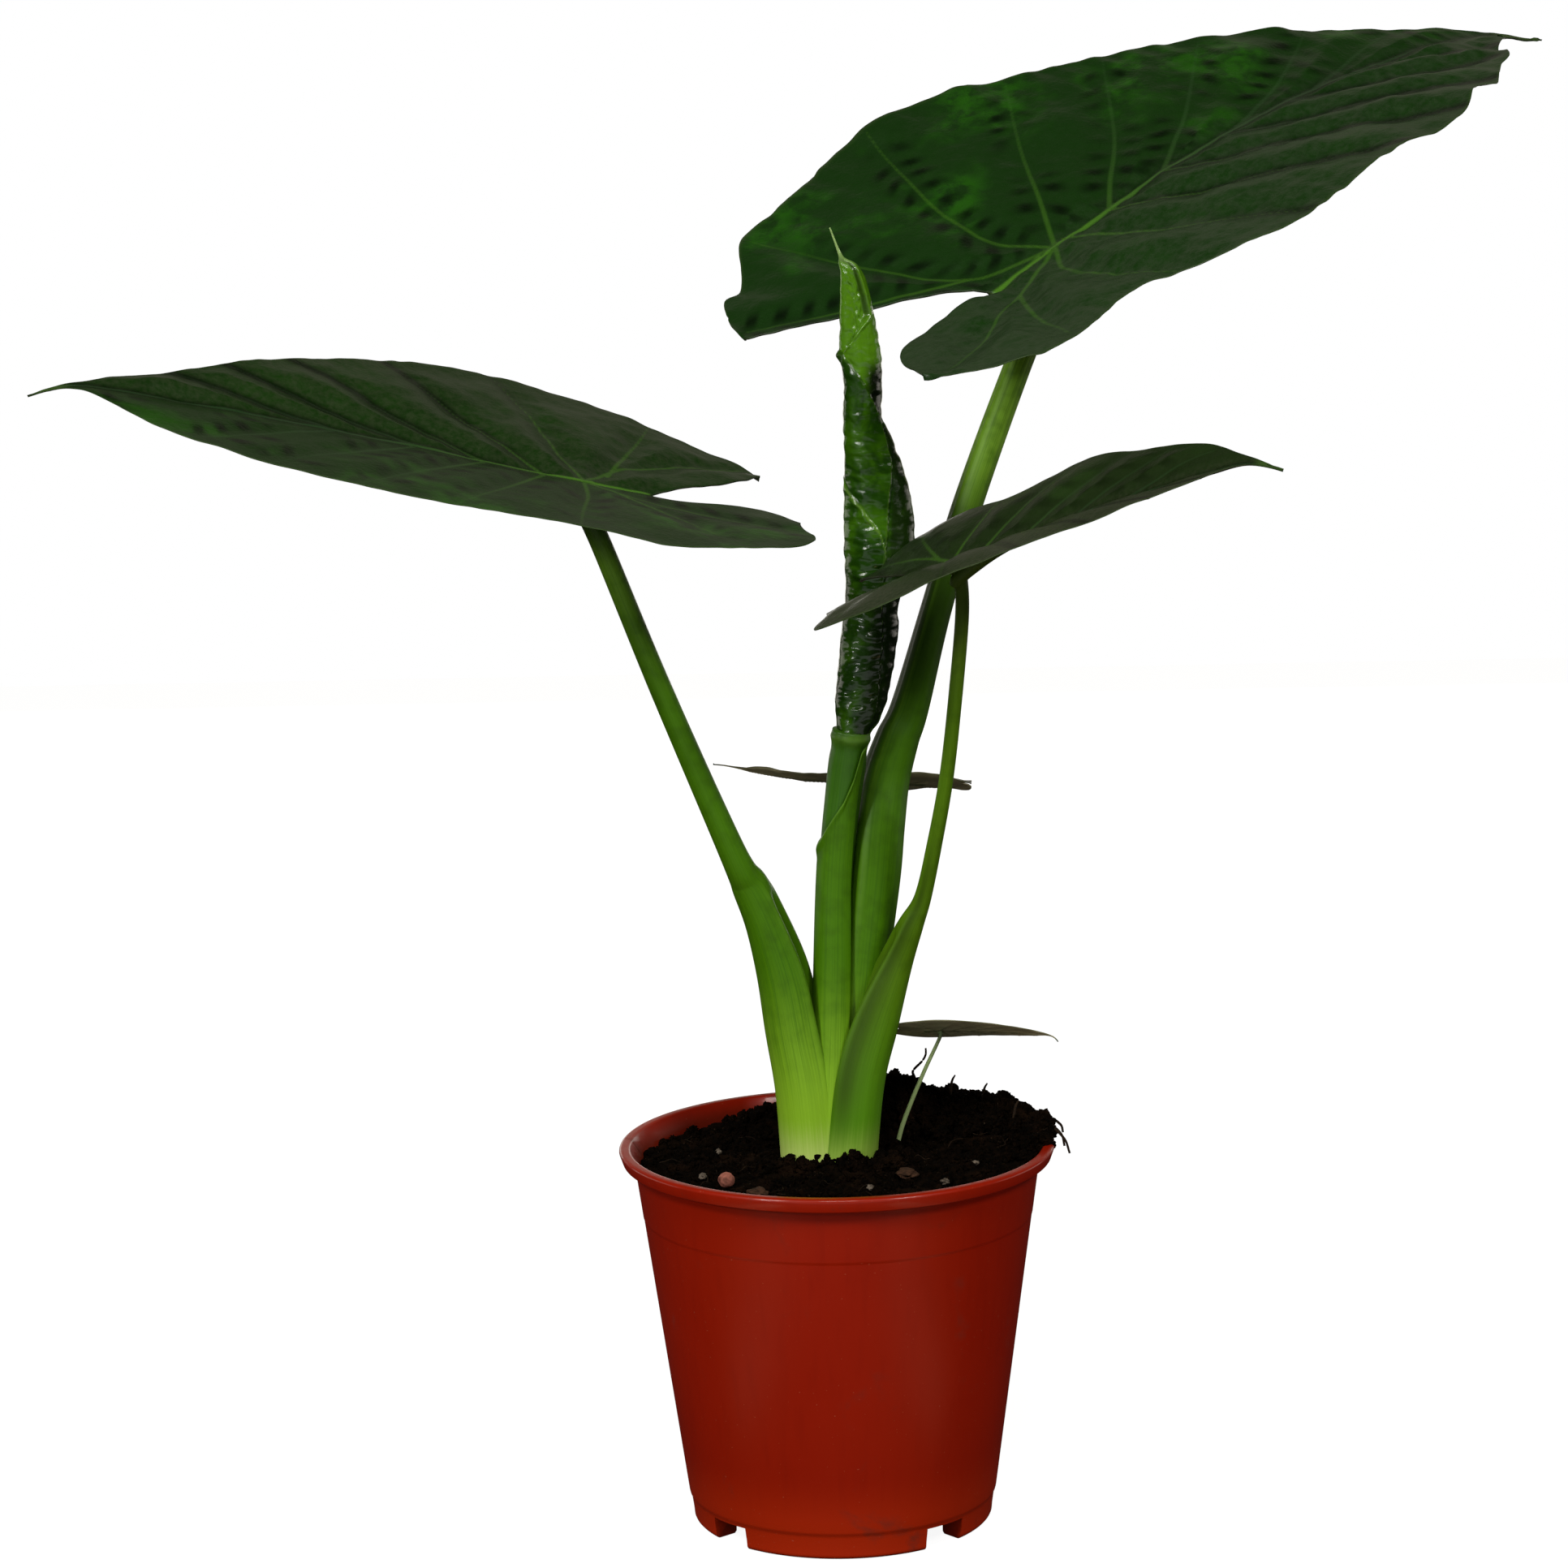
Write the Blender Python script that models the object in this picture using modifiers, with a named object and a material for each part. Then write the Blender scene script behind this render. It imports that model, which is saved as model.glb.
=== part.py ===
"""A potted alocasia: a plastic nursery pot, soil and corm, leaves on sheathed stems and one rolled leaf.

Units are metres, +Z is up, and the origin is on the pot's axis, on the surface that the pot stands on.
"""

import math

import bmesh
import bpy
import numpy as np
from mathutils import Matrix, Vector

FIT_GAP = 0.0003
MERGE = 0.00005
UPWARD = (0.0, 0.0, 1.0)

# The pot
POT_HEIGHT = 0.168
RIM_RADIUS = 0.095
LIP_HEIGHT = 0.0063
LIP_LOWER_RADIUS = 0.0936
WALL_TOP_RADIUS = 0.0885
WALL_FOOT_RADIUS = 0.0679
FOOT_HEIGHT = 0.012
BASE_RADIUS = 0.0644
WALL = 0.0018
FLOOR = 0.0025
FOOT_RING = 0.010
POT_STEPS = 48
NOTCH_COUNT = 4
NOTCH_HEIGHT = 0.010
NOTCH_DEPTH = 0.0050
NOTCH_ANGLE = math.radians(18)
NOTCH_TURN = math.radians(-3.4)
DRAIN_SLOT = 0.0034

# The soil: its level, the mound about the crown, and the heap behind and to the right
SOIL_LEVEL = 0.1585
SOIL_RINGS = 9
SOIL_STEPS = 40
MOUNDS = (
    # centre x, centre y, height, spread
    (0.000, 0.000, 0.0035, 0.026),
    (0.036, 0.048, 0.0230, 0.024),
    (0.070, 0.036, 0.0085, 0.020),
    (-0.030, 0.070, 0.0070, 0.020),
)

# The crown, where the stems spring from the corm
CROWN_BASE = 0.1560
CROWN_HOLLOW = (
    (-0.0030, 0.000, 0.1085, 0.0060, 0.0060),
    (-0.0030, 0.000, 0.1160, 0.0180, 0.0170),
    (-0.0030, 0.000, 0.1270, 0.0245, 0.0225),
    (-0.0030, 0.000, 0.1380, 0.0252, 0.0232),
    (-0.0035, 0.002, 0.1500, 0.0252, 0.0245),
    (-0.0035, 0.003, 0.1580, 0.0250, 0.0250),
    (-0.0035, 0.003, 0.1750, 0.0250, 0.0250),
)
CORM_CENTRE = (-0.003, 0.000, 0.136)
CORM_RADII = (0.024, 0.022, 0.026)

# Stems: each place is x, y, z, half the width and half the depth of the stem there
STEM_SIDES = 12
STEM_STEPS = 2
SPEAR_SHEATH = (
    (0.0010, 0.003, 0.2450, 0.0055, 0.0050),
    (0.0020, 0.003, 0.2900, 0.0074, 0.0068),
    (0.0060, 0.002, 0.3250, 0.0078, 0.0072),
    (0.0095, 0.000, 0.3495, 0.0080, 0.0075),
)
PETIOLE_RIGHT = (
    (0.0000, 0.003, 0.1560, 0.0090, 0.0085),
    (0.0030, 0.004, 0.2000, 0.0125, 0.0105),
    (0.0065, 0.005, 0.2480, 0.0143, 0.0125),
    (0.0116, 0.005, 0.2850, 0.0175, 0.0130),
    (0.0170, 0.009, 0.3060, 0.0155, 0.0105),
    (0.0252, 0.017, 0.3250, 0.0092, 0.0082),
    (0.0360, 0.024, 0.3560, 0.0080, 0.0074),
    (0.0475, 0.032, 0.3975, 0.0068, 0.0066),
    (0.0620, 0.040, 0.4425, 0.0066, 0.0064),
    (0.0840, 0.052, 0.4990, 0.0061, 0.0060),
    (0.0985, 0.0592, 0.5365, 0.0056, 0.0056),
)
PETIOLE_LEFT = (
    (-0.0110, -0.001, 0.1560, 0.0142, 0.0145),
    (-0.0130, -0.002, 0.1920, 0.0140, 0.0130),
    (-0.0170, -0.003, 0.2200, 0.0130, 0.0115),
    (-0.0212, -0.005, 0.2450, 0.0118, 0.0100),
    (-0.0280, -0.008, 0.2680, 0.0095, 0.0085),
    (-0.0350, -0.011, 0.2850, 0.0080, 0.0070),
    (-0.0428, -0.016, 0.3020, 0.0058, 0.0058),
    (-0.0708, -0.024, 0.3730, 0.0048, 0.0048),
    (-0.0940, -0.031, 0.4360, 0.0044, 0.0044),
    (-0.1000, -0.0330, 0.4550, 0.0043, 0.0043),
)
PETIOLE_MIDDLE = (
    (0.0050, -0.003, 0.1560, 0.0133, 0.0145),
    (0.0095, -0.004, 0.1960, 0.0129, 0.0125),
    (0.0165, -0.005, 0.2230, 0.0116, 0.0100),
    (0.0268, -0.008, 0.2500, 0.0076, 0.0070),
    (0.0335, -0.013, 0.2670, 0.0055, 0.0052),
    (0.0388, -0.017, 0.2800, 0.0037, 0.0037),
    (0.0438, -0.025, 0.3041, 0.0033, 0.0033),
    (0.0490, -0.034, 0.3340, 0.0031, 0.0031),
    (0.0527, -0.044, 0.3670, 0.0030, 0.0030),
    (0.0560, -0.055, 0.4060, 0.0029, 0.0029),
    (0.0570, -0.0615, 0.4225, 0.0029, 0.0029),
)
PETIOLE_BACK = (
    (0.0000, 0.0195, 0.1560, 0.0060, 0.0045),
    (0.0020, 0.0240, 0.2000, 0.0050, 0.0042),
    (0.0100, 0.0420, 0.2550, 0.0034, 0.0032),
    (0.0240, 0.0700, 0.2960, 0.0024, 0.0024),
    (0.0302, 0.0872, 0.3068, 0.0022, 0.0022),
)
PLANTLET_PETIOLE = (
    (0.0255, 0.0115, 0.1570, 0.0016, 0.0016),
    (0.0290, 0.0112, 0.1720, 0.0014, 0.0014),
    (0.0378, 0.0105, 0.1940, 0.0011, 0.0011),
    (0.0450, 0.0102, 0.2090, 0.0010, 0.0010),
)
ROLLED_LEAF = (
    (0.0120, 0.001, 0.3500, 0.0080, 0.0072),
    (0.0138, 0.003, 0.3610, 0.0118, 0.0088),
    (0.0180, 0.005, 0.3900, 0.0122, 0.0092),
    (0.0192, 0.006, 0.4050, 0.0116, 0.0090),
    (0.0222, 0.006, 0.4290, 0.0146, 0.0094),
    (0.0222, 0.006, 0.4500, 0.0138, 0.0090),
    (0.0175, 0.005, 0.4850, 0.0085, 0.0080),
    (0.0165, 0.004, 0.5110, 0.0080, 0.0074),
    (0.0140, 0.002, 0.5350, 0.0064, 0.0058),
    (0.0105, 0.001, 0.5500, 0.0038, 0.0034),
    (0.0040, 0.000, 0.5650, 0.0006, 0.0006),
)

# Blade outlines, in lengths of the blade from the stem to the end of the broad part: along the midrib, and
# out from it. Each half starts at the bottom of the notch, goes round the lobe, and ends at the drip tip.
# The lobe's end is the point with the number LOBE_END.
LOBE_END = 3
BROAD_HALF = (
    (-0.13, 0.00), (-0.21, 0.08), (-0.33, 0.14), (-0.44, 0.19), (-0.43, 0.22), (-0.26, 0.40), (-0.13, 0.42),
    (0.10, 0.45), (0.40, 0.32), (0.65, 0.20), (0.83, 0.09), (0.97, 0.02), (1.00, 0.01), (1.06, 0.00),
)
WAISTED_HALF = (
    (-0.13, 0.00), (-0.24, 0.01), (-0.38, 0.06), (-0.45, 0.18), (-0.42, 0.28), (-0.29, 0.32), (-0.10, 0.28),
    (0.06, 0.38), (0.38, 0.37), (0.65, 0.28), (0.83, 0.14), (0.96, 0.03), (1.00, 0.01), (1.06, 0.00),
)
LEFT_FAR_HALF = (
    (-0.13, 0.00), (-0.19, 0.06), (-0.32, 0.13), (-0.40, 0.19), (-0.37, 0.25), (-0.26, 0.35), (-0.10, 0.44),
    (0.16, 0.44), (0.40, 0.35), (0.61, 0.24), (0.81, 0.11), (0.96, 0.02), (1.00, 0.01), (1.06, 0.00),
)
LEFT_NEAR_HALF = (
    (-0.13, 0.00), (-0.18, 0.04), (-0.34, 0.03), (-0.40, 0.15), (-0.39, 0.29), (-0.29, 0.37), (-0.09, 0.41),
    (0.16, 0.36), (0.41, 0.33), (0.63, 0.27), (0.83, 0.18), (0.96, 0.03), (1.00, 0.01), (1.06, 0.00),
)
MIDDLE_FAR_HALF = (
    (-0.13, 0.00), (-0.23, 0.06), (-0.35, 0.14), (-0.39, 0.17), (-0.31, 0.22), (-0.25, 0.36), (-0.10, 0.38),
    (0.13, 0.28), (0.38, 0.34), (0.61, 0.24), (0.84, 0.14), (0.97, 0.04), (1.00, 0.01), (1.06, 0.00),
)
MIDDLE_NEAR_HALF = (
    (-0.13, 0.00), (-0.22, 0.14), (-0.33, 0.14), (-0.36, 0.18), (-0.31, 0.28), (-0.29, 0.42), (-0.09, 0.44),
    (0.14, 0.36), (0.39, 0.31), (0.63, 0.27), (0.83, 0.15), (0.95, 0.03), (1.00, 0.01), (1.06, 0.00),
)
YOUNG_HALF = (
    (-0.12, 0.00), (-0.20, 0.05), (-0.32, 0.11), (-0.40, 0.18), (-0.38, 0.26), (-0.26, 0.36), (-0.08, 0.42),
    (0.16, 0.42), (0.40, 0.34), (0.62, 0.24), (0.82, 0.12), (0.96, 0.02), (1.00, 0.01), (1.06, 0.00),
)

# Blades: the bends are the upward fold of the left and right halves, the droop of the margins, the arch of
# the midrib (steady and growing), the droop of the lobes, and the twist along the midrib.
BLADES = {
    "blade_right": dict(
        length=0.296, junction=(0.1019, 0.0600, 0.5502), heading=39.8, rise=25.9, bank=5.8,
        left=BROAD_HALF, right=WAISTED_HALF, bends=(0.21, 0.125, 0.01, 0.235, 0.15, -0.375, 0.09),
        thickness=0.0012,
    ),
    "blade_left": dict(
        length=0.217, junction=(-0.1007, -0.0330, 0.4630), heading=197.7, rise=14.7, bank=-11.2,
        left=LEFT_NEAR_HALF, right=LEFT_FAR_HALF, bends=(0.046, 0.125, 0.01, 0.02, 0.02, -0.35, -0.16),
        thickness=0.0012,
    ),
    "blade_middle": dict(
        length=0.138, junction=(0.0523, -0.0620, 0.4305), heading=-26.0, rise=21.7, bank=14.3,
        left=MIDDLE_FAR_HALF, right=MIDDLE_NEAR_HALF, bends=(0.37, 0.38, 0.60, 0.03, 0.08, 0.40, 0.12),
        thickness=0.0010,
    ),
    "blade_back": dict(
        length=0.080, junction=(0.0315, 0.0900, 0.3105), heading=178.0, rise=-2.0, bank=14.0,
        left=YOUNG_HALF, right=YOUNG_HALF, bends=(0.02, 0.02, 0.05, -0.10, -0.10, 0.10, 0.0),
        thickness=0.0008,
    ),
    "plantlet_blade": dict(
        length=0.050, junction=(0.0459, 0.0100, 0.2128), heading=0.0, rise=2.0, bank=-19.0,
        left=YOUNG_HALF, right=YOUNG_HALF, bends=(0.05, 0.05, 0.10, 0.10, 0.10, 0.10, 0.0),
        thickness=0.0007,
    ),
}
BLADE_STATIONS = 15
LOBE_STATIONS = 4
BLADE_ROWS = 4

# Small things on the soil: x, y, size and squash of each
CLAY_PEBBLE = (-0.0474, -0.045, 0.0037, 0.9)
PERLITE = (
    (-0.058, -0.030, 0.0016, 0.8),
    (-0.052, 0.012, 0.0014, 0.8),
    (0.046, -0.044, 0.0018, 0.7),
    (0.014, -0.052, 0.0015, 0.8),
    (0.060, -0.012, 0.0016, 0.7),
)
BARK = (
    (-0.034, -0.056, 0.0045, 0.4),
    (0.030, -0.034, 0.0050, 0.4),
)
CRUMB_LIFT = 0.0012
ROOT_THREAD = (
    (0.0350, 0.046, 0.1835),
    (0.0360, 0.045, 0.1890),
    (0.0395, 0.044, 0.1935),
    (0.0405, 0.044, 0.1985),
)
ROOT_RADIUS = 0.0004

COLOURS = {
    "pot_plastic": ((0.190, 0.011, 0.002), 0.35),
    "potting_soil": ((0.010, 0.007, 0.005), 0.95),
    "corm_skin": ((0.110, 0.055, 0.025), 0.80),
    "stem_skin": ((0.130, 0.260, 0.030), 0.40),
    "blade_skin": ((0.010, 0.040, 0.009), 0.35),
    "young_blade_skin": ((0.070, 0.220, 0.012), 0.25),
    "clay": ((0.350, 0.110, 0.080), 0.85),
    "perlite": ((0.700, 0.670, 0.620), 0.90),
    "bark": ((0.060, 0.028, 0.015), 0.90),
}


def clear_scene():
    for old in list(bpy.data.objects):
        bpy.data.objects.remove(old, do_unlink=True)


def new_collection(name):
    group = bpy.data.collections.new(name)
    bpy.context.scene.collection.children.link(group)
    return group


def make_material(name):
    colour, roughness = COLOURS[name]
    material = bpy.data.materials.new(name)
    material.use_nodes = True
    shader = material.node_tree.nodes["Principled BSDF"]
    shader.inputs["Base Color"].default_value = (*colour, 1.0)
    shader.inputs["Roughness"].default_value = roughness
    shader.inputs["Metallic"].default_value = 0.0
    material.diffuse_color = (*colour, 1.0)
    return material


def add_object(name, mesh, group, material=None):
    thing = bpy.data.objects.new(name, mesh)
    group.objects.link(thing)
    if material:
        mesh.materials.append(material)
    return thing


def shade(thing, angle=40):
    thing.data.shade_smooth()
    thing.data.set_sharp_from_angle(angle=math.radians(angle))


def as_cutter(thing):
    thing.hide_render = True
    thing.display_type = "WIRE"


def cut(thing, cutter):
    """Leave a Boolean on the piece that takes the cutter away from it."""
    boolean = thing.modifiers.new("cut " + cutter.name, "BOOLEAN")
    boolean.operation = "DIFFERENCE"
    boolean.solver = "EXACT"
    boolean.object = cutter


def smooth_path(points, steps):
    """Rows on a smooth curve through the given rows, with so many steps from each to the next."""
    rows = np.array(points, dtype=float)
    padded = np.vstack((2 * rows[0] - rows[1], rows, 2 * rows[-1] - rows[-2]))
    path = []
    for a, b, c, d in zip(padded, padded[1:], padded[2:], padded[3:]):
        for step in range(steps):
            t = step / steps
            linear = (c - a) * t
            square = (2 * a - 5 * b + 4 * c - d) * t**2
            cube = (3 * b - a - 3 * c + d) * t**3
            path.append(0.5 * (2 * b + linear + square + cube))
    path.append(rows[-1])
    return np.array(path)


def turned(name, profile, steps, group, material=None):
    """A body turned about the Z axis from a profile of (radius, height) points."""
    mesh = bpy.data.meshes.new(name)
    edges = [(i, i + 1) for i in range(len(profile) - 1)]
    mesh.from_pydata([(radius, 0.0, height) for radius, height in profile], edges, [])
    thing = add_object(name, mesh, group, material)
    screw = thing.modifiers.new("turn", "SCREW")
    screw.axis = "Z"
    screw.steps = steps
    screw.render_steps = steps
    screw.use_merge_vertices = True
    screw.merge_threshold = MERGE
    screw.use_smooth_shade = True
    return thing


def inner_radius(height):
    """The radius of the pot's inner wall at a height above its foot ring."""
    rise = (height - FOOT_HEIGHT) / (POT_HEIGHT - LIP_HEIGHT - FOOT_HEIGHT)
    return WALL_FOOT_RADIUS - WALL + (WALL_TOP_RADIUS - WALL_FOOT_RADIUS) * rise


def make_pot(group, cutters, material):
    lip_bottom = POT_HEIGHT - LIP_HEIGHT
    ring_inside = BASE_RADIUS - FOOT_RING
    edge = 0.0012
    profile = (
        (0.0, FLOOR),
        (ring_inside, FLOOR),
        (ring_inside, FOOT_HEIGHT + FLOOR),
        (inner_radius(FOOT_HEIGHT + FLOOR), FOOT_HEIGHT + FLOOR),
        (inner_radius(lip_bottom), lip_bottom),
        (RIM_RADIUS - 2 * edge - WALL, POT_HEIGHT - edge),
        (RIM_RADIUS - edge - WALL, POT_HEIGHT),
        (RIM_RADIUS - edge, POT_HEIGHT),
        (RIM_RADIUS, POT_HEIGHT - edge),
        (LIP_LOWER_RADIUS, lip_bottom),
        (WALL_TOP_RADIUS, lip_bottom),
        (WALL_FOOT_RADIUS, FOOT_HEIGHT),
        (BASE_RADIUS + edge, FOOT_HEIGHT - edge),
        (BASE_RADIUS, edge),
        (BASE_RADIUS - edge, 0.0),
        (0.0, 0.0),
    )
    pot = turned("pot", profile, POT_STEPS, group, material)
    for number in range(NOTCH_COUNT):
        turn = NOTCH_TURN + math.radians(45) + number * math.tau / NOTCH_COUNT
        cut(pot, make_notch(number, turn, cutters))
        cut(pot, make_drain_slot(number, turn, cutters))
    return pot


def make_box(name, size, group):
    mesh = bpy.data.meshes.new(name)
    shape = bmesh.new()
    bmesh.ops.create_cube(shape, size=1.0, matrix=Matrix.Diagonal((*size, 1.0)))
    shape.to_mesh(mesh)
    shape.free()
    return add_object(name, mesh, group)


def make_notch(number, turn, cutters):
    reach = 0.02
    width = 2 * BASE_RADIUS * math.tan(NOTCH_ANGLE / 2)
    notch = make_box(f"notch_cutter_{number}", (reach, width, 2 * NOTCH_HEIGHT), cutters)
    radius = BASE_RADIUS - NOTCH_DEPTH + reach / 2
    notch.location = (radius * math.cos(turn), radius * math.sin(turn), 0.0)
    notch.rotation_euler = (0.0, 0.0, turn)
    as_cutter(notch)
    return notch


def make_drain_slot(number, turn, cutters):
    """A slot through the foot ring, from the notch into the pot."""
    reach = 2.4 * FOOT_RING
    slot = make_box(f"drain_cutter_{number}", (reach, 0.012, DRAIN_SLOT), cutters)
    radius = BASE_RADIUS - FOOT_RING
    slot.location = (radius * math.cos(turn), radius * math.sin(turn), NOTCH_HEIGHT / 2)
    slot.rotation_euler = (0.0, 0.0, turn)
    as_cutter(slot)
    return slot


def soil_height(x, y):
    """The soil's height: its level, the mounds and a fine lumpiness."""
    height = SOIL_LEVEL
    for centre_x, centre_y, rise, spread in MOUNDS:
        distance = math.hypot(x - centre_x, y - centre_y)
        height += rise * math.exp(-((distance / spread) ** 2))
    lumps = math.sin(210 * x + 1.0) * math.sin(190 * y + 0.6) + 0.6 * math.sin(370 * x - 290 * y)
    return height + 0.0007 * lumps


def make_soil(group, cutters, material, hollows):
    """The soil fills the pot, with its top moved up and down by soil_height."""
    foot_top = FOOT_HEIGHT + FLOOR + FIT_GAP
    side_gap = 2 * FIT_GAP
    ring_inside = BASE_RADIUS - FOOT_RING - side_gap
    edge_radius = inner_radius(SOIL_LEVEL) - side_gap
    top = [(edge_radius * ring / SOIL_RINGS, SOIL_LEVEL) for ring in range(SOIL_RINGS + 1)]
    side = [
        (inner_radius(foot_top) - side_gap, foot_top),
        (ring_inside, foot_top),
        (ring_inside, FLOOR + FIT_GAP),
        (0.0, FLOOR + FIT_GAP),
    ]
    turned_soil = turned("soil_blank", top + side, SOIL_STEPS, cutters)
    turned_soil.update_tag()
    depsgraph = bpy.context.evaluated_depsgraph_get()
    mesh = bpy.data.meshes.new_from_object(turned_soil.evaluated_get(depsgraph))
    bpy.data.objects.remove(turned_soil, do_unlink=True)
    mesh.materials.clear()
    for point in mesh.vertices:
        if point.co.z > SOIL_LEVEL - MERGE:
            edge = min(1.0, (edge_radius - math.hypot(point.co.x, point.co.y)) / 0.008)
            lift = soil_height(point.co.x, point.co.y) - SOIL_LEVEL
            point.co.z += lift * (0.35 + 0.65 * edge)
    soil = add_object("potting_soil", mesh, group, material)
    for hollow in hollows:
        cut(soil, hollow)
    return soil


def ellipsoid(name, centre, radii, group, material=None, segments=20, rings=12):
    mesh = bpy.data.meshes.new(name)
    shape = bmesh.new()
    bmesh.ops.create_uvsphere(shape, u_segments=segments, v_segments=rings, radius=1.0)
    bmesh.ops.scale(shape, vec=radii, verts=shape.verts)
    shape.to_mesh(mesh)
    shape.free()
    thing = add_object(name, mesh, group, material)
    thing.location = centre
    shade(thing)
    return thing


def make_corm(group, cutters, material):
    """The corm is a rough egg whose top is level, where the stems stand on it."""
    corm = ellipsoid("corm", CORM_CENTRE, CORM_RADII, group, material)
    slab_height = 0.04
    top = make_box("corm_top_cutter", (0.1, 0.1, slab_height), cutters)
    top.location = (0.0, 0.0, CROWN_BASE - FIT_GAP + slab_height / 2)
    as_cutter(top)
    cut(corm, top)
    return corm


def stem_mesh(name, places, swell=0.0, end_normal=None, sides=STEM_SIDES, foot_drop=0.0):
    """A closed loft of ovals along a smooth line, each square to the line, from a level foot to its end.

    A foot_drop carries the foot straight down by that much.
    """
    path = smooth_path(places, STEM_STEPS)
    if foot_drop:
        path = np.vstack((path[0] - (0.0, 0.0, foot_drop, 0.0, 0.0), path))
    centres = path[:, :3]
    tangents = np.gradient(centres, axis=0)
    mesh = bpy.data.meshes.new(name)
    shape = bmesh.new()
    rings = []
    for number, (centre, tangent, half) in enumerate(zip(centres, tangents, path[:, 3:])):
        direction = Vector(tangent).normalized()
        if centre[2] <= places[0][2]:
            direction = Vector(UPWARD)
        if number == len(centres) - 1 and end_normal is not None:
            direction = Vector(end_normal)
        across = (Vector((1.0, 0.0, 0.0)) - direction * direction.x).normalized()
        deep = direction.cross(across)
        ring = []
        for side in range(sides):
            angle = math.tau * side / sides
            wide = across * (half[0] + swell) * math.cos(angle)
            thick = deep * (half[1] + swell) * math.sin(angle)
            ring.append(shape.verts.new(Vector(centre) + wide + thick))
        rings.append(ring)
    for lower, upper in zip(rings, rings[1:]):
        for side in range(sides):
            after = (side + 1) % sides
            shape.faces.new((lower[side], lower[after], upper[after], upper[side]))
    shape.faces.new(list(reversed(rings[0])))
    shape.faces.new(rings[-1])
    shape.to_mesh(mesh)
    shape.free()
    return mesh


def make_stem(name, places, group, material, end_normal=None, sides=STEM_SIDES):
    stem = add_object(name, stem_mesh(name, places, 0.0, end_normal, sides), group, material)
    shade(stem)
    return stem


def stem_cutter(name, places, cutters, foot_drop=0.0):
    """The stem swollen by the gap, as a cutter, with its foot carried down by foot_drop."""
    cutter = add_object(name, stem_mesh(name, places, FIT_GAP, foot_drop=foot_drop), cutters)
    as_cutter(cutter)
    return cutter


def arc_fractions(points):
    steps = np.linalg.norm(np.diff(points, axis=0), axis=1)
    lengths = np.concatenate(([0.0], np.cumsum(steps)))
    return lengths / lengths[-1]


def half_blade(outline, stations, rows):
    """A grid of flat points over half a blade, from the notch and midrib out to the margin."""
    lobe = smooth_path(outline[: LOBE_END + 1][::-1], 6)
    outer = smooth_path(outline[LOBE_END:], 6)
    lobe_at = np.linspace(0.0, 1.0, LOBE_STATIONS)
    lobe_points = np.column_stack([np.interp(lobe_at, arc_fractions(lobe), lobe[:, i]) for i in range(2)])
    midrib_length = stations - LOBE_STATIONS + 1
    midrib_line = np.linspace(outline[0][0], outline[-1][0], midrib_length)
    midrib = np.column_stack((midrib_line, np.zeros(midrib_length)))
    inner_points = np.vstack((lobe_points[:-1], midrib))
    at = np.linspace(0.0, 1.0, stations)
    outer_points = np.column_stack([np.interp(at, arc_fractions(outer), outer[:, i]) for i in range(2)])
    out = np.linspace(0.0, 1.0, rows + 1)[None, :, None]
    return inner_points[:, None, :] * (1 - out) + outer_points[:, None, :] * out


def bend_blade(flat, bends):
    """Fold, droop, arch and twist flat blade points, still in lengths of the blade."""
    fold_left, fold_right, droop, arch, arch_growth, lobe_droop, twist = bends
    along, out = flat[:, 0], flat[:, 1]
    up = np.where(out > 0, fold_left, fold_right) * np.abs(out) - droop * out**2
    line = np.linspace(-0.6, 1.1, 171)
    pitch = np.where(line > 0, arch * line + arch_growth * line**2, lobe_droop * line)
    step = line[1] - line[0]
    middle = (pitch[1:] + pitch[:-1]) / 2
    reach = np.concatenate(([0.0], np.cumsum(np.cos(middle)))) * step
    rise = -np.concatenate(([0.0], np.cumsum(np.sin(middle)))) * step
    reach -= np.interp(0.0, line, reach)
    rise -= np.interp(0.0, line, rise)
    turn = twist * along
    side = out * np.cos(turn) - up * np.sin(turn)
    lift = out * np.sin(turn) + up * np.cos(turn)
    tilt = np.interp(along, line, pitch)
    x = np.interp(along, line, reach) + lift * np.sin(tilt)
    z = np.interp(along, line, rise) + lift * np.cos(tilt)
    return np.column_stack((x, side, z))


def blade_turn(blade):
    """The turn that carries +X to the midrib's direction and +Z to the blade's upper side."""
    heading = Matrix.Rotation(math.radians(blade["heading"]), 3, "Z")
    rise = Matrix.Rotation(-math.radians(blade["rise"]), 3, "Y")
    bank = Matrix.Rotation(math.radians(blade["bank"]), 3, "X")
    return heading @ rise @ bank


def make_blade(name, group, material):
    blade = BLADES[name]
    shape = bmesh.new()
    for outline, side in ((blade["left"], 1), (blade["right"], -1)):
        grid = half_blade(outline, BLADE_STATIONS, BLADE_ROWS)
        flat = grid.reshape(-1, 2) * (1, side)
        points = bend_blade(flat, blade["bends"]) * blade["length"]
        verts = [shape.verts.new(point) for point in points]
        columns = BLADE_ROWS + 1
        for station in range(BLADE_STATIONS - 1):
            for row in range(BLADE_ROWS):
                first = station * columns + row
                corners = [first, first + columns, first + columns + 1, first + 1]
                if side < 0:
                    corners.reverse()
                shape.faces.new([verts[corner] for corner in corners])
    bmesh.ops.remove_doubles(shape, verts=shape.verts, dist=0.0002)
    mesh = bpy.data.meshes.new(name)
    shape.to_mesh(mesh)
    shape.free()
    thing = add_object(name, mesh, group, material)
    thing.rotation_euler = blade_turn(blade).to_euler()
    thing.location = blade["junction"]
    skin = thing.modifiers.new("thickness", "SOLIDIFY")
    skin.thickness = blade["thickness"]
    skin.offset = -1.0
    shade(thing)
    return thing


def under_blade(name):
    """The blade's normal, which the end of its stem is square to."""
    return blade_turn(BLADES[name]) @ Vector(UPWARD)


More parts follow.
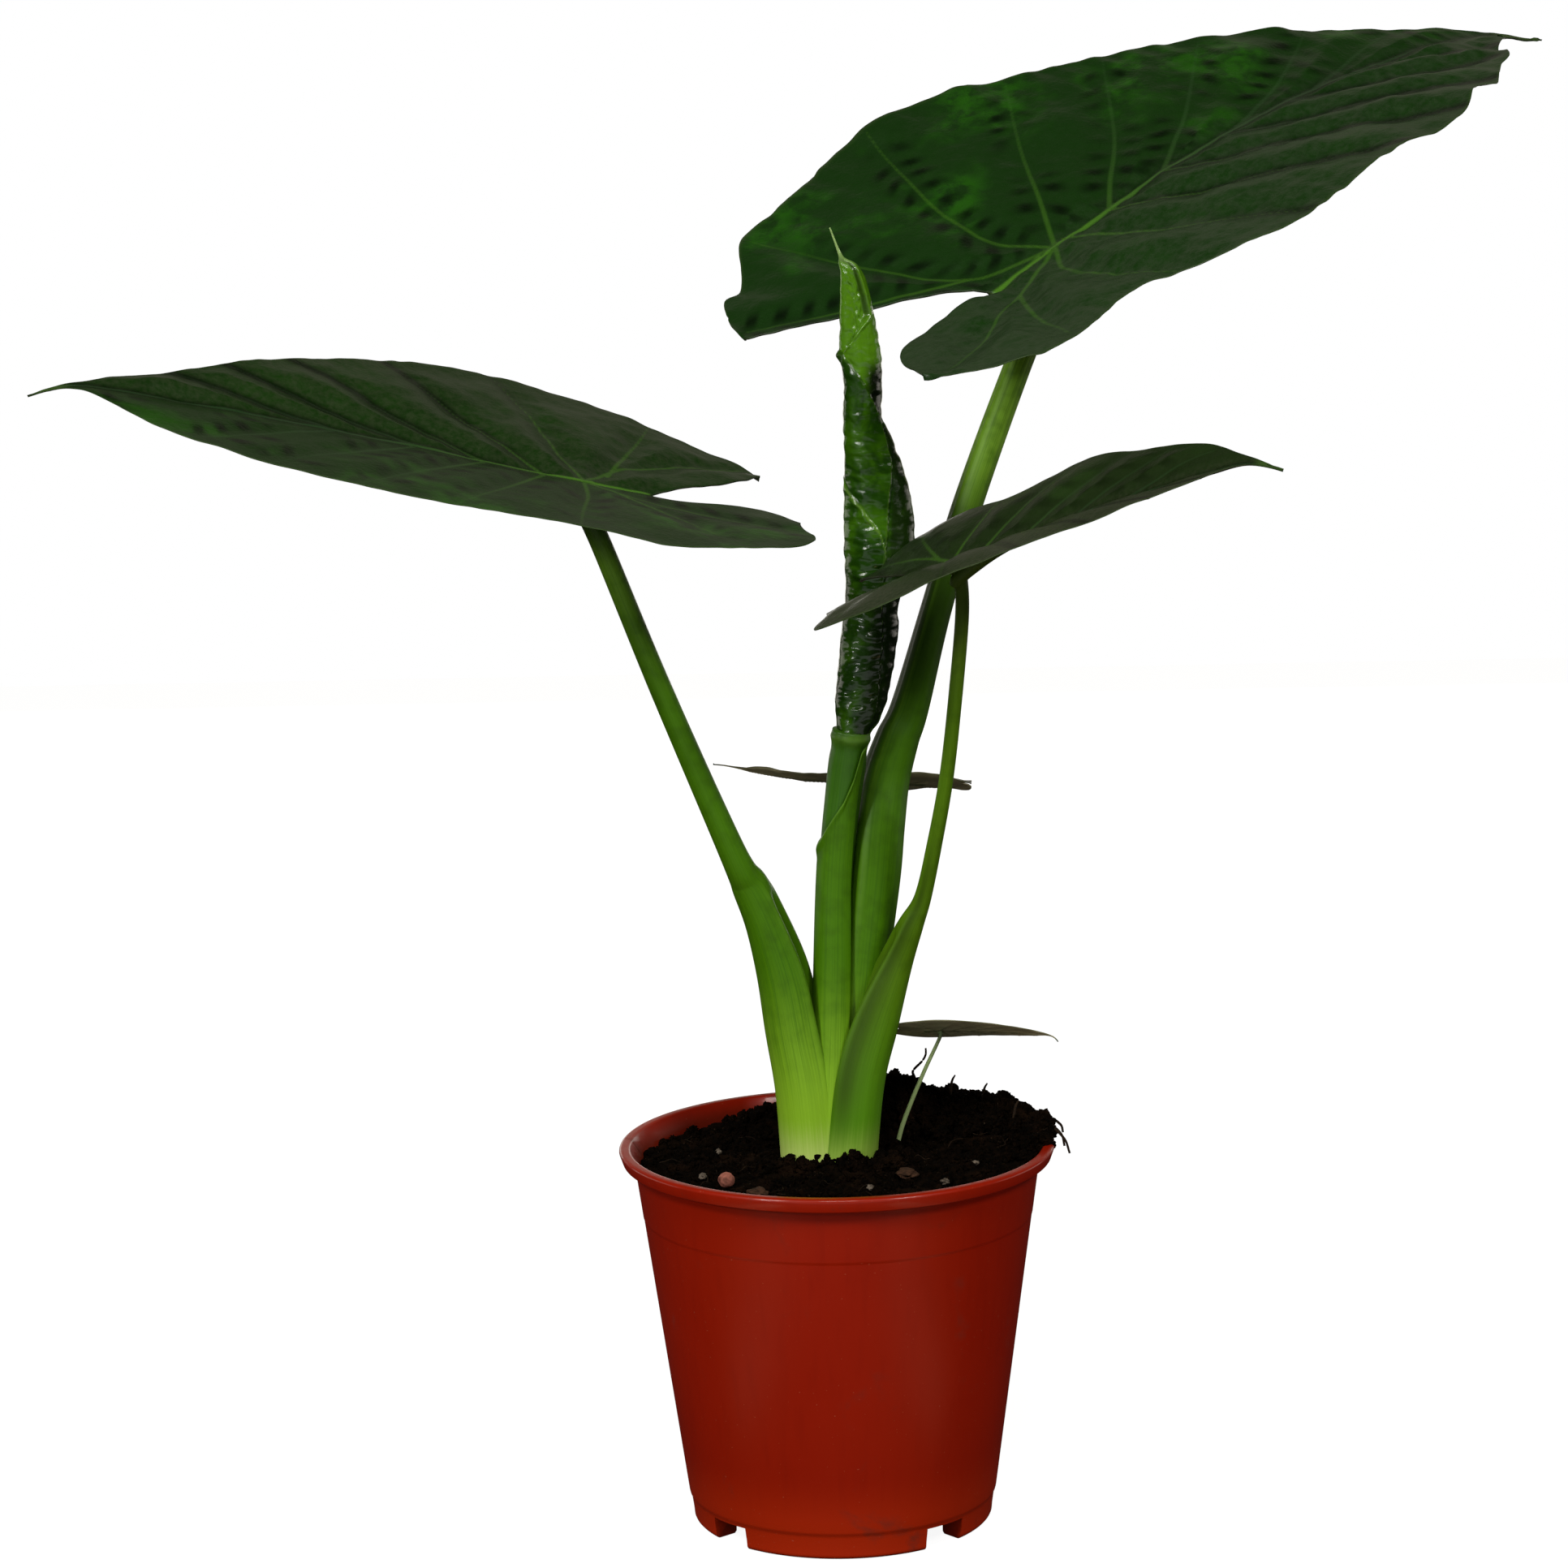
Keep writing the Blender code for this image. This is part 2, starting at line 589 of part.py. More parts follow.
def stem_to_blade(places, blade_name):
    """The stem's places, with the last one set just under the blade's junction."""
    blade = BLADES[blade_name]
    normal = under_blade(blade_name)
    end = Vector(blade["junction"]) - normal * (blade["thickness"] + 2 * FIT_GAP)
    last = (*end, places[-1][3], places[-1][4])
    return places[:-1] + (last,)


def crumb(name, place, group, material, segments=10, rings=7):
    x, y, size, squash = place
    height = soil_height(x, y) + size * squash + CRUMB_LIFT
    return ellipsoid(name, (x, y, height), (size, size, size * squash), group, material, segments, rings)


def make_root_thread(group, material):
    curve = bpy.data.curves.new("root_thread", "CURVE")
    curve.dimensions = "3D"
    curve.bevel_depth = ROOT_RADIUS
    curve.bevel_resolution = 1
    curve.use_fill_caps = True
    curve.render_resolution_u = 0
    spline = curve.splines.new("POLY")
    points = smooth_path(ROOT_THREAD, 3)
    spline.points.add(len(points) - 1)
    for point, place in zip(spline.points, points):
        point.co = (*place, 1.0)
    thread = add_object("root_thread", curve, group, material)
    return thread


def main():
    clear_scene()
    parts = new_collection("potted_alocasia")
    cutters = new_collection("cutters")
    materials = {name: make_material(name) for name in COLOURS}

    make_pot(parts, cutters, materials["pot_plastic"])
    make_corm(parts, cutters, materials["corm_skin"])

    skin = materials["stem_skin"]
    right_stem = stem_to_blade(PETIOLE_RIGHT, "blade_right")
    left_stem = stem_to_blade(PETIOLE_LEFT, "blade_left")
    middle_stem = stem_to_blade(PETIOLE_MIDDLE, "blade_middle")
    back_stem = stem_to_blade(PETIOLE_BACK, "blade_back")
    small_stem = stem_to_blade(PLANTLET_PETIOLE, "plantlet_blade")

    make_stem("spear_sheath", SPEAR_SHEATH, parts, skin, UPWARD)
    make_stem("rolled_leaf", ROLLED_LEAF, parts, materials["young_blade_skin"])
    right = make_stem("petiole_right", right_stem, parts, skin, under_blade("blade_right"))
    left = make_stem("petiole_left", left_stem, parts, skin, under_blade("blade_left"))
    middle = make_stem("petiole_middle", middle_stem, parts, skin, under_blade("blade_middle"))
    make_stem("petiole_back", back_stem, parts, skin, under_blade("blade_back"), sides=10)
    make_stem("plantlet_petiole", small_stem, parts, skin, under_blade("plantlet_blade"), sides=8)

    spear_cutter = stem_cutter("spear_sheath_cutter", SPEAR_SHEATH, cutters)
    right_cutter = stem_cutter("petiole_right_cutter", right_stem, cutters, foot_drop=0.01)
    middle_cutter = stem_cutter("petiole_middle_cutter", middle_stem, cutters, foot_drop=0.012)
    cut(right, spear_cutter)
    cut(middle, right_cutter)
    cut(left, right_cutter)
    cut(left, middle_cutter)

    for name in BLADES:
        make_blade(name, parts, materials["blade_skin"])

    hollows = [
        stem_cutter("crown_hollow", CROWN_HOLLOW, cutters),
        stem_cutter("plantlet_hollow", small_stem, cutters, 0.001),
    ]
    make_soil(parts, cutters, materials["potting_soil"], hollows)

    crumb("clay_pebble", CLAY_PEBBLE, parts, materials["clay"], 14, 9)
    for number, place in enumerate(PERLITE, start=1):
        crumb(f"perlite_{number}", place, parts, materials["perlite"])
    for number, place in enumerate(BARK, start=1):
        crumb(f"bark_chip_{number}", place, parts, materials["bark"])
    make_root_thread(parts, materials["bark"])


main()
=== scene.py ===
"""The looks of a potted alocasia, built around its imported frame.

Units are metres and +Z is up. Each leaf and stem, the soil, the pot and each small grain is a fine mesh that
stands for its plain solid. The whole plant is placed by the pot's box.
"""

import math

import bmesh
import bpy
import numpy as np
from mathutils import Matrix, Vector, noise


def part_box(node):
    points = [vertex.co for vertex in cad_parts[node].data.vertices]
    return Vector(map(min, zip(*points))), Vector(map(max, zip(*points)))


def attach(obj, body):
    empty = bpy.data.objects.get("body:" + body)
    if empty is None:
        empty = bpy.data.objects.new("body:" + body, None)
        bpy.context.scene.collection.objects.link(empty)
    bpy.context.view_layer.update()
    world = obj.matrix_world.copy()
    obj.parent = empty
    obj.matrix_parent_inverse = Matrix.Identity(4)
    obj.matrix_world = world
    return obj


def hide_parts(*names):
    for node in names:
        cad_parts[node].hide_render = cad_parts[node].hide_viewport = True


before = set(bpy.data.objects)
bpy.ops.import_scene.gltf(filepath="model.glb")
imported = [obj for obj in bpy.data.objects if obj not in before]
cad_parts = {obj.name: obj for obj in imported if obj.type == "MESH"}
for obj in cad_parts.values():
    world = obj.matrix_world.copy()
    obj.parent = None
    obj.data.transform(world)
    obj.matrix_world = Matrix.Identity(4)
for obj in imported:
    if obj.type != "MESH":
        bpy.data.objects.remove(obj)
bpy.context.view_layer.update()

# The pot's own box gives the plant's origin: the pot's axis, on the ground
POT_LOW, POT_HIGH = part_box("pot")
ORIGIN = np.array(((POT_LOW.x + POT_HIGH.x) / 2, (POT_LOW.y + POT_HIGH.y) / 2, POT_LOW.z))
POT_HEIGHT = POT_HIGH.z - POT_LOW.z
RIM_RADIUS = (POT_HIGH.x - POT_LOW.x) / 2


def metres(*rows):
    """Rows of millimetres, as metres."""
    return tuple(tuple(value / 1000 for value in row) for row in rows)


def lengths(*rows):
    """Rows of hundredths of a blade's length, as lengths. Each row is a point or holds points."""
    if isinstance(rows[0][0], tuple):
        return tuple(lengths(*row) for row in rows)
    return tuple(tuple(value / 100 for value in row) for row in rows)


# The pot: sizes in metres, turns in radians, and the dent in the front of its foot in degrees
LIP_HEIGHT = 0.0063
LIP_LOWER_RADIUS = RIM_RADIUS - 0.0014
WALL_TOP_RADIUS = RIM_RADIUS - 0.0065
WALL_FOOT_RADIUS = 0.0679
FOOT_HEIGHT = 0.012
BASE_RADIUS = 0.0644
WALL = 0.0018
FLOOR = 0.0025
FOOT_RING = 0.010
STACKING_STEP = 0.0002
STACKING_DEPTH = 0.031
POT_STEPS = 240
NOTCH_COUNT = 4
NOTCH_HEIGHT = 0.010
NOTCH_REACH = 0.03
NOTCH_ANGLE = math.radians(18)
NOTCH_TURN = math.radians(-3.4)
DENT_HEIGHT = 0.0009
DENT_TURN = -91.15
DENT_ANGLE = 8.5

# The soil
SOIL_LEVEL = 0.1585
# Mounds: the middle's x and y, the height and the spread, in millimetres
MOUNDS = metres(
    (0, 0, 3.5, 26), (22, 50, 22, 21), (62, 46, 11, 24), (82, 14, 9, 18), (-30, 70, 7, 20),
)
CLOD_COUNT = 2600
FIBRE_COUNT = 45
LARGE_CLOD = 0.0018
CLOD_TOP = 0.1895
# Clusters of clods: centre, spread, the largest one's size and how proud it may stand, and how many
CLOD_CLUSTERS = (
    ((0.022, 0.050, 0.1815), (0.014, 0.013, 0.0025), (0.0034, 0.0036), 380),
    ((0.062, 0.046, 0.1710), (0.015, 0.014, 0.0030), (0.0036, 0.0036), 420),
    ((0.086, 0.016, 0.1700), (0.0045, 0.015, 0.0026), (0.0028, 0.0036), 300),
    ((0.0965, 0.022, 0.1715), (0.0030, 0.012, 0.0026), (0.0024, 0.0066), 210),
    ((-0.006, 0.080, 0.1650), (0.010, 0.003, 0.0020), (0.0026, 0.0036), 90),
    ((0.000, -0.016, 0.1620), (0.016, 0.004, 0.0016), (0.0026, 0.0036), 200),
    ((0.006, -0.0185, 0.1640), (0.0022, 0.0012, 0.0018), (0.0024, 0.0070), 40),
    ((0.022, -0.006, 0.1620), (0.005, 0.010, 0.0018), (0.0024, 0.0036), 90),
)
# Threads over the rim: x, y, drop and lean; and spikes on the heap: x, y and top
RIM_THREADS = metres((91.5, 4, 7, 1.5), (92, -1, 9, 3), (92, 16, 4, 1))
HEAP_SPIKES = metres((66, 46, 181.5), (52, 56, 183), (20, 62, 190), (79, 22, 179.5))

# Stems: x, y, z, half the width and half the depth, in millimetres as the other rows of metres() are
SPEAR_SHEATH = metres(
    (1, 3, 245, 5.5, 5), (2, 3, 290, 7.4, 6.8), (6, 2, 325, 7.8, 7.2), (9.5, 0, 350, 8, 7.5),
)
SHEATH_LIP = 0.3470
SHEATH_SEAM = 234.9
PETIOLE_RIGHT = metres(
    (3.5, 3, 156, 10, 10), (8.5, 5, 200, 10.8, 10.5), (13.5, 6, 248, 11.2, 10.8), (18, 8, 285, 11.8, 10),
    (20.3, 11, 306, 11.6, 9.2), (23.6, 16, 325, 10.8, 8.4), (29.2, 20, 342, 9.6, 7.8),
    (35.2, 24, 356, 8.4, 7.4), (47.5, 32, 397.5, 6.8, 6.6), (62, 40, 442.5, 6.6, 6.4),
    (84, 52, 499, 6.1, 6), (98.5, 59.2, 536.5, 5.6, 5.6),
)
# The wing of the right stem's sheath, and its top edge: the way round it in degrees, and the height there
SPEAR_WRAP = metres(
    (-3.5, -5, 160, 8.5, 8.5), (-1.2, -4, 200, 9.2, 8.8), (0.5, -1, 245, 9.4, 8.8),
    (1.8, 2, 285, 8.8, 8.2), (4.4, 2, 315, 8.8, 8.2), (7.4, 1, 335, 9.2, 8.7), (9.6, 0, 350, 9.4, 9),
)
WRAP_EDGE = (
    (95, 0.3060), (150, 0.3015), (180, 0.2990), (215, 0.3035), (250, 0.3130), (275, 0.3200), (292, 0.3290),
    (305, 0.3420), (318, 0.3440),
)
WRAP_FOOT = 0.162
PETIOLE_LEFT = metres(
    (-10.4, -1, 156, 13.5, 14), (-12.6, -2, 192, 13.5, 12.8), (-17, -3, 220, 13, 11.5),
    (-21.2, -5, 245, 11.8, 10), (-28, -8, 268, 9.5, 8.5), (-35, -11, 285, 8, 7),
    (-42.8, -16, 302, 5.8, 5.8), (-70.8, -24, 373, 4.8, 4.8), (-94, -31, 436, 4.4, 4.4),
    (-100, -33, 455, 4.3, 4.3),
)
PETIOLE_MIDDLE = metres(
    (4.4, -3, 156, 12.6, 14), (9.1, -4, 196, 12.4, 12.3), (16.5, -5, 223, 11.6, 10),
    (26.8, -8, 250, 7.6, 7), (33.5, -13, 267, 5.5, 5.2), (38.8, -17, 280, 3.7, 3.7),
    (43.8, -25, 304.1, 3.3, 3.3), (49, -34, 334, 3.1, 3.1), (52.7, -44, 367, 3, 3),
    (56, -55, 406, 2.9, 2.9), (57, -61.5, 422.5, 2.9, 2.9),
)
PETIOLE_BACK = metres(
    (0, 19.5, 156, 6, 4.5), (2, 24, 200, 5, 4.2), (10, 42, 255, 3.4, 3.2), (24, 70, 296, 2.4, 2.4),
    (30.2, 87.2, 306.8, 2.2, 2.2),
)
PLANTLET_PETIOLE = metres(
    (25.5, 11.5, 157, 1.1, 1.1), (29, 11.2, 172, 1, 1), (37.8, 10.5, 194, 0.9, 0.9),
    (45, 10.2, 211.4, 0.8, 0.8),
)
ROLLED_LEAF = metres(
    (9, 0, 342, 6, 5.8), (10.6, 1, 350, 7.6, 7), (13.4, 3, 361, 10.8, 8.8), (18, 5, 390, 12.2, 9.2),
    (19.2, 6, 405, 11.6, 9), (22.7, 6, 427.2, 15, 9.6), (22.4, 6, 448.2, 14.5, 9.2),
    (19.4, 5, 469.1, 11.3, 8.6), (16.8, 5, 483, 8.6, 8), (16.9, 4, 500.5, 8.3, 7.8),
    (16, 4, 511.8, 8.8, 7.6), (15, 3, 525, 7.5, 6.8), (13.9, 2, 538, 6.1, 5.6), (12.2, 1, 546, 4.6, 4),
    (9.4, 1, 550.5, 2.1, 1.8), (8, 0, 554, 0.8, 0.7), (4, 0, 565, 0.3, 0.3),
)
# The free edges of the rolled sheet. The way round it is in degrees from its left side, across the front.
# A row of the spiral is a way, over almost a turn and a half, and a height. A row of the others is a height
# and a way.
SPIRAL_EDGE = (
    (0, 0.5132), (32, 0.5118), (82, 0.5021), (140, 0.4871), (180, 0.4800), (270, 0.4700), (360, 0.4580),
    (387, 0.4542), (421, 0.4467), (450, 0.4362), (461, 0.4272), (470, 0.4100), (480, 0.3800), (500, 0.3450),
)
FRONT_EDGE = (
    (0.4100, 100), (0.4272, 101), (0.4362, 103), (0.4482, 109), (0.4542, 116), (0.4660, 135), (0.4750, 138),
    (0.4840, 150),
)
SCOOP_EDGE = (
    (0.5118, 32), (0.5142, 53), (0.5216, 94), (0.5283, 146), (0.5395, 136), (0.5463, 137), (0.5530, 150),
)
SHEET_STEP = 0.0012
ROLL_RINGS = 460
ROLL_SIDES = 180
ROOT_THREAD = metres(
    (35, 46, 180), (35.2, 46, 184.5), (34.5, 45, 188), (38.5, 44, 192.5), (40.2, 44, 195.5),
    (40.3, 44, 198.5),
)

# The rib under the middle blade, from the stem's head along the midrib
MIDDLE_KEEL = metres(
    (52.8, -62.2, 420.5, 2.2, 2.2), (55, -63.4, 424.5, 3.2, 3), (60, -65.6, 429, 3.4, 3),
    (69, -70, 435, 2.6, 2.2), (80, -75.2, 440.8, 1.6, 1.4), (90, -80, 445.2, 0.6, 0.6),
)

# Grooves and rims that run along a stem: angle round it, width, height as a share of the stem, from z, to z
LEFT_CREASES = (
    (-6, 24, -0.52, 0.150, 0.284),
    (-48, 10, 0.10, 0.150, 0.290),
    (34, 10, 0.12, 0.150, 0.292),
    (180, 40, 0.03, 0.150, 0.455),
)
MIDDLE_CREASES = (
    (186, 26, -0.48, 0.150, 0.268),
    (228, 10, 0.12, 0.150, 0.276),
    (142, 10, 0.12, 0.150, 0.276),
)
RIGHT_CREASES = (
    (200, 20, -0.10, 0.200, 0.540),
    (246, 12, 0.05, 0.200, 0.420),
    (160, 12, 0.05, 0.200, 0.420),
)
BACK_CREASES = ((-90, 26, -0.30, 0.150, 0.260),)

# Painted shade where stems lie against each other, and the painted shadow of the middle blade on the right
# stem: angle round the stem, width, from z, to z, strength
MIDDLE_SHADES = ((246, 28, 0.158, 0.330, 0.95),)
RIGHT_SHADES = ((205, 34, 0.200, 0.440, 0.60), (270, 400, 0.350, 0.480, 1.00))
SHEATH_SHADES = ((340, 40, 0.250, 0.360, 0.70),)

# Blade outlines, in hundredths of the blade's length from the stem to the end of its broad part: along the
# midrib, and out from it. Each half starts at the bottom of the notch, goes round the lobe, and ends at the
# drip tip. The lobe's end is the point with the number LOBE_END.
LOBE_END = 3
BROAD_HALF = lengths(
    (-13, 0), (-21, 8), (-33, 14), (-45, 19.5), (-43, 24.5), (-38.5, 30.5), (-35, 30.8), (-30, 35.5),
    (-24, 41), (-13, 42.5), (10, 45), (40, 32), (65, 20), (83, 9), (97, 2.5), (101, 1), (113, 0),
)
WAISTED_HALF = lengths(
    (-13, 0), (-24, 1), (-38, 6), (-45, 18), (-42, 28), (-29, 32), (-10, 28), (6, 38), (38, 37), (52, 35),
    (63, 29), (67, 29), (77.5, 21), (82.5, 18.5), (90, 10), (98.5, 4.5), (101, 1), (113, 0),
)
LEFT_FAR_HALF = lengths(
    (-13, 0), (-20, 3), (-32, 9), (-40, 17), (-38, 24), (-26, 35), (-10, 44), (16, 44), (40, 35),
    (61, 24), (81, 11), (96, 3), (101, 1), (109, 0),
)
LEFT_NEAR_HALF = lengths(
    (-13, 0), (-18, 4), (-34, 3), (-40, 15), (-39, 29), (-29, 37), (-9, 41), (16, 36), (41, 33), (63, 27),
    (83, 18), (96, 4), (101, 1), (109, 0),
)
MIDDLE_FAR_HALF = lengths(
    (-13, 0), (-23, 6), (-35, 14), (-39, 17), (-31, 22), (-25, 36), (-10, 38), (13, 28), (38, 34),
    (61, 24), (84, 14), (96, 5), (102, 2), (110, 0),
)
MIDDLE_NEAR_HALF = lengths(
    (-13, 0), (-22, 14), (-33, 14), (-36, 18), (-31, 28), (-29, 42), (-9, 44), (14, 36), (39, 31),
    (63, 27), (83, 15), (95, 4), (102, 2), (110, 0),
)
YOUNG_HALF = lengths(
    (-35, 0), (-36, 4), (-38, 10), (-40, 18), (-38, 26), (-26, 36), (-8, 42), (16, 42), (40, 34),
    (62, 24), (82, 12), (96, 2), (100, 1), (106, 0),
)

# Veins of a half, from the midrib or the stem's head to the margin, in the outlines' measure
BROAD_VEINS = lengths(
    ((0, 0), (-13, 5), (-19, 18), (-22, 31), (-25, 42)), ((-13, 5), (-24, 11), (-34, 16), (-43, 21)),
    ((0, 0), (-4, 9), (-2, 21), (2, 32), (7, 44)), ((0, 0), (8, 10), (17, 22), (29, 36)),
    ((12, 0), (18, 5), (28, 13), (43, 29)), ((24, 0), (31, 4), (41, 10), (58, 23)),
    ((40, 0), (47, 2), (58, 6), (74, 15)), ((58, 0), (66, 2), (76, 5), (88, 8)),
)
WAISTED_VEINS = lengths(
    ((0, 0), (-14, 6), (-26, 12), (-42, 20)), ((-14, 6), (-20, 15), (-27, 30)),
    ((0, 0), (-6, 8), (-7, 18), (-5, 30)), ((3, 0), (5, 11), (9, 23), (16, 38)),
    ((12, 0), (17, 10), (26, 22), (39, 37)), ((24, 0), (31, 9), (42, 20), (55, 33)),
    ((37, 0), (45, 8), (56, 17), (70, 26)), ((52, 0), (60, 6), (70, 13), (82, 16)),
    ((67, 0), (75, 4), (83, 8), (92, 8)),
)
LEFT_FAR_VEINS = lengths(
    ((0, 0), (-9, 10), (-22, 17), (-38, 22)), ((-6, 6), (-12, 18), (-18, 30), (-22, 40)),
    ((0, 0), (4, 15), (7, 30), (12, 45)), ((8, 0), (17, 11), (27, 25), (37, 38)),
    ((20, 0), (32, 8), (45, 19), (57, 27)), ((34, 0), (46, 6), (59, 13), (72, 19)),
    ((50, 0), (62, 4), (74, 9), (85, 11)),
)
LEFT_NEAR_VEINS = lengths(
    ((0, 0), (-12, 8), (-24, 14), (-38, 22)), ((-5, 3), (-12, 14), (-18, 26), (-22, 40)),
    ((0, 0), (2, 12), (6, 25), (10, 40)), ((8, 0), (15, 11), (24, 23), (34, 36)),
    ((20, 0), (29, 9), (40, 20), (52, 32)), ((34, 0), (44, 8), (56, 17), (68, 27)),
    ((50, 0), (60, 6), (71, 13), (82, 20)),
)
YOUNG_VEINS = lengths(
    ((0, 0), (-12, 8), (-24, 15), (-38, 22)), ((-5, 3), (-12, 14), (-18, 26), (-22, 40)),
    ((0, 0), (4, 12), (9, 26), (14, 44)), ((10, 0), (19, 11), (29, 23), (39, 36)),
    ((25, 0), (36, 9), (47, 18), (58, 28)), ((42, 0), (53, 7), (64, 13), (75, 19)),
    ((60, 0), (70, 4), (79, 8), (88, 9)),
)

# Blades: the bends are the upward fold of the left and right halves, the droop of the margins, the arch of
# the midrib (steady and growing), the droop of the lobes, the twist along the midrib, and the droop of the
# tip. Swells are how far the skin puffs up between the veins of each half.
BLADES = {
    "blade_right": dict(
        length=0.296, junction=(0.1019, 0.0600, 0.5502), heading=39.8, rise=25.9, bank=5.8,
        left=BROAD_HALF, right=WAISTED_HALF, bends=(0.21, 0.125, 0.01, 0.235, 0.15, -0.375, 0.09, 0.15),
        left_veins=BROAD_VEINS, right_veins=WAISTED_VEINS, swells=(0.0028, 0.0044),
        stations=300, rows=100, thickness=0.0009, rib=0.0026, wave=0.0020, nicks=0.0005,
    ),
    "blade_left": dict(
        length=0.217, junction=(-0.1007, -0.0330, 0.4630), heading=197.7, rise=14.7, bank=-11.2,
        left=LEFT_NEAR_HALF, right=LEFT_FAR_HALF, bends=(0.046, 0.125, 0.01, 0.02, 0.02, -0.35, -0.16, 0.45),
        left_veins=LEFT_NEAR_VEINS, right_veins=LEFT_FAR_VEINS, swells=(0.0012, 0.0033),
        stations=240, rows=80, thickness=0.0009, rib=0.0021, wave=0.0007, nicks=0.0002,
    ),
    "blade_middle": dict(
        length=0.138, junction=(0.0523, -0.0620, 0.4305), heading=-26.0, rise=21.7, bank=14.3,
        left=MIDDLE_FAR_HALF, right=MIDDLE_NEAR_HALF, bends=(0.37, 0.38, 0.60, 0.03, 0.08, 0.40, 0.12, 0.55),
        left_veins=YOUNG_VEINS, right_veins=YOUNG_VEINS, swells=(0.0014, 0.0010),
        stations=180, rows=60, thickness=0.0008, rib=0.0016, wave=0.0005, nicks=0.0002,
    ),
    "blade_back": dict(
        length=0.080, junction=(0.0315, 0.0900, 0.3105), heading=178.0, rise=1.5, bank=15.5,
        left=YOUNG_HALF, right=YOUNG_HALF, bends=(0.02, 0.02, 0.05, -0.10, -0.10, 0.10, 0.0, 0.2),
        left_veins=YOUNG_VEINS, right_veins=YOUNG_VEINS, swells=(0.0008, 0.0008),
        stations=110, rows=36, thickness=0.0007, rib=0.0011, wave=0.0015, nicks=0.0002,
    ),
    "plantlet_blade": dict(
        length=0.050, junction=(0.0459, 0.0100, 0.2152), heading=0.0, rise=-1.0, bank=-23.0,
        left=YOUNG_HALF, right=YOUNG_HALF, bends=(0.05, 0.05, 0.10, 0.02, 0.14, 0.00, 0.0, 0.9),
        left_veins=YOUNG_VEINS, right_veins=YOUNG_VEINS, swells=(0.0004, 0.0004),
        stations=80, rows=26, thickness=0.0006, rib=0.0008, wave=0.0004, nicks=0.0002,
    ),
}
# The share of a half's rows that are on the lobe
LOBE_SHARE = 0.2
# Lines of the midrib and the side veins: width, strength and the rib's share of the blade's rib
MIDRIB = (0.0019, 1.0, 1.0)
SIDE_VEIN = (0.0016, 0.42, 0.62)

# The camera: where it stands, how far it looks down, to the side and leans, and its lens
CAMERA_PLACE = (0.0, -2.0, 0.696)
CAMERA_TURNS = (math.radians(10.45), math.radians(-0.57), math.radians(-1.14))
CAMERA_LENS = 108.5
# Lights: name, place, what it points at, width and depth, power and colour
CREAM = (1.0, 0.98, 0.92)
SAND = (1.0, 0.94, 0.84)
CLAY_RED = (1.0, 0.66, 0.42)
LIGHTS = (
    ("back_wall", (0.0, 2.4, 1.20), (0.0, 0.0, 0.55), (4.4, 2.6), 8.4, (1.0, 0.92, 0.72)),
    ("overhead", (0.0, -1.5, 2.2), (0.0, 0.0, 0.30), (0.7, 0.7), 16.0, CREAM),
    ("front_left", (-1.4, -1.7, 2.0), (0.0, 0.0, 0.25), (0.6, 0.6), 34.5, CREAM),
    ("front_right", (1.4, -1.7, 1.9), (0.0, 0.0, 0.25), (0.6, 0.6), 30.5, CREAM),
    ("front_glint", (-1.5, -1.9, 1.15), (0.0, 0.0, 0.40), (0.22, 0.22), 12.0, (1.0, 1.0, 1.0)),
    ("side_left", (-2.0, 0.7, 0.32), (0.0, 0.0, 0.10), (1.6, 0.5), 4.5, SAND),
    ("side_right", (2.0, 0.7, 0.32), (0.0, 0.0, 0.10), (1.6, 0.5), 4.5, SAND),
    ("behind", (0.0, 2.2, 0.28), (0.0, 0.0, 0.22), (2.6, 0.5), 7.0, (1.0, 0.97, 0.90)),
    ("floor_left", (-0.165, -0.185, 0.004), (-0.1651, -0.185, 1.0), (0.06, 0.20), 0.065, CLAY_RED),
    ("floor_right", (0.150, -0.190, 0.004), (0.1501, -0.190, 1.0), (0.06, 0.20), 0.060, CLAY_RED),
    ("floor_bounce", (0.0, -0.8, 0.02), (0.0, 0.0, 0.04), (1.6, 0.5), 1.6, (1.0, 1.0, 1.0)),
)
# How bright the room looks to the camera, and to everything else
ROOM_SEEN = 1.0
ROOM_MIRRORED = 0.012
FLOOR_HALF_WIDTH = 6.0
FLOOR_BACK = 2.35


# ---------------------------------------------------------------- shapes


def smooth_path(points, steps):
    """Rows on a smooth curve through the given rows, with so many steps from each to the next."""
    rows = np.array(points, dtype=float)
    padded = np.vstack((2 * rows[0] - rows[1], rows, 2 * rows[-1] - rows[-2]))
    path = []
    for a, b, c, d in zip(padded, padded[1:], padded[2:], padded[3:]):
        for step in range(steps):
            t = step / steps
            linear = (c - a) * t
            square = (2 * a - 5 * b + 4 * c - d) * t**2
            cube = (3 * b - a - 3 * c + d) * t**3
            path.append(0.5 * (2 * b + linear + square + cube))
    path.append(rows[-1])
    return np.array(path)


def arc_lengths(points):
    """How far along its line each row of points is."""
    steps = np.linalg.norm(np.diff(points, axis=0), axis=1)
    return np.concatenate(([0.0], np.cumsum(steps)))


def resample(line, count, axes=2):
    """So many evenly spaced rows along a line. The first columns are places."""
    lengths_along = arc_lengths(line[:, :axes])
    at = np.linspace(0.0, lengths_along[-1], count)
    return np.column_stack([np.interp(at, lengths_along, column) for column in line.T])


def unit(vectors):
    """The same directions, one unit long."""
    return vectors / np.maximum(np.linalg.norm(vectors, axis=-1, keepdims=True), 1e-15)


def lumps(points, size, seed=0.0):
    """Smooth noise from -1 to 1 at each point, with bumps of about the given size."""
    shift = Vector((seed, 2.3 * seed, -seed))
    return np.array([noise.noise(Vector(point) / size + shift) for point in points])


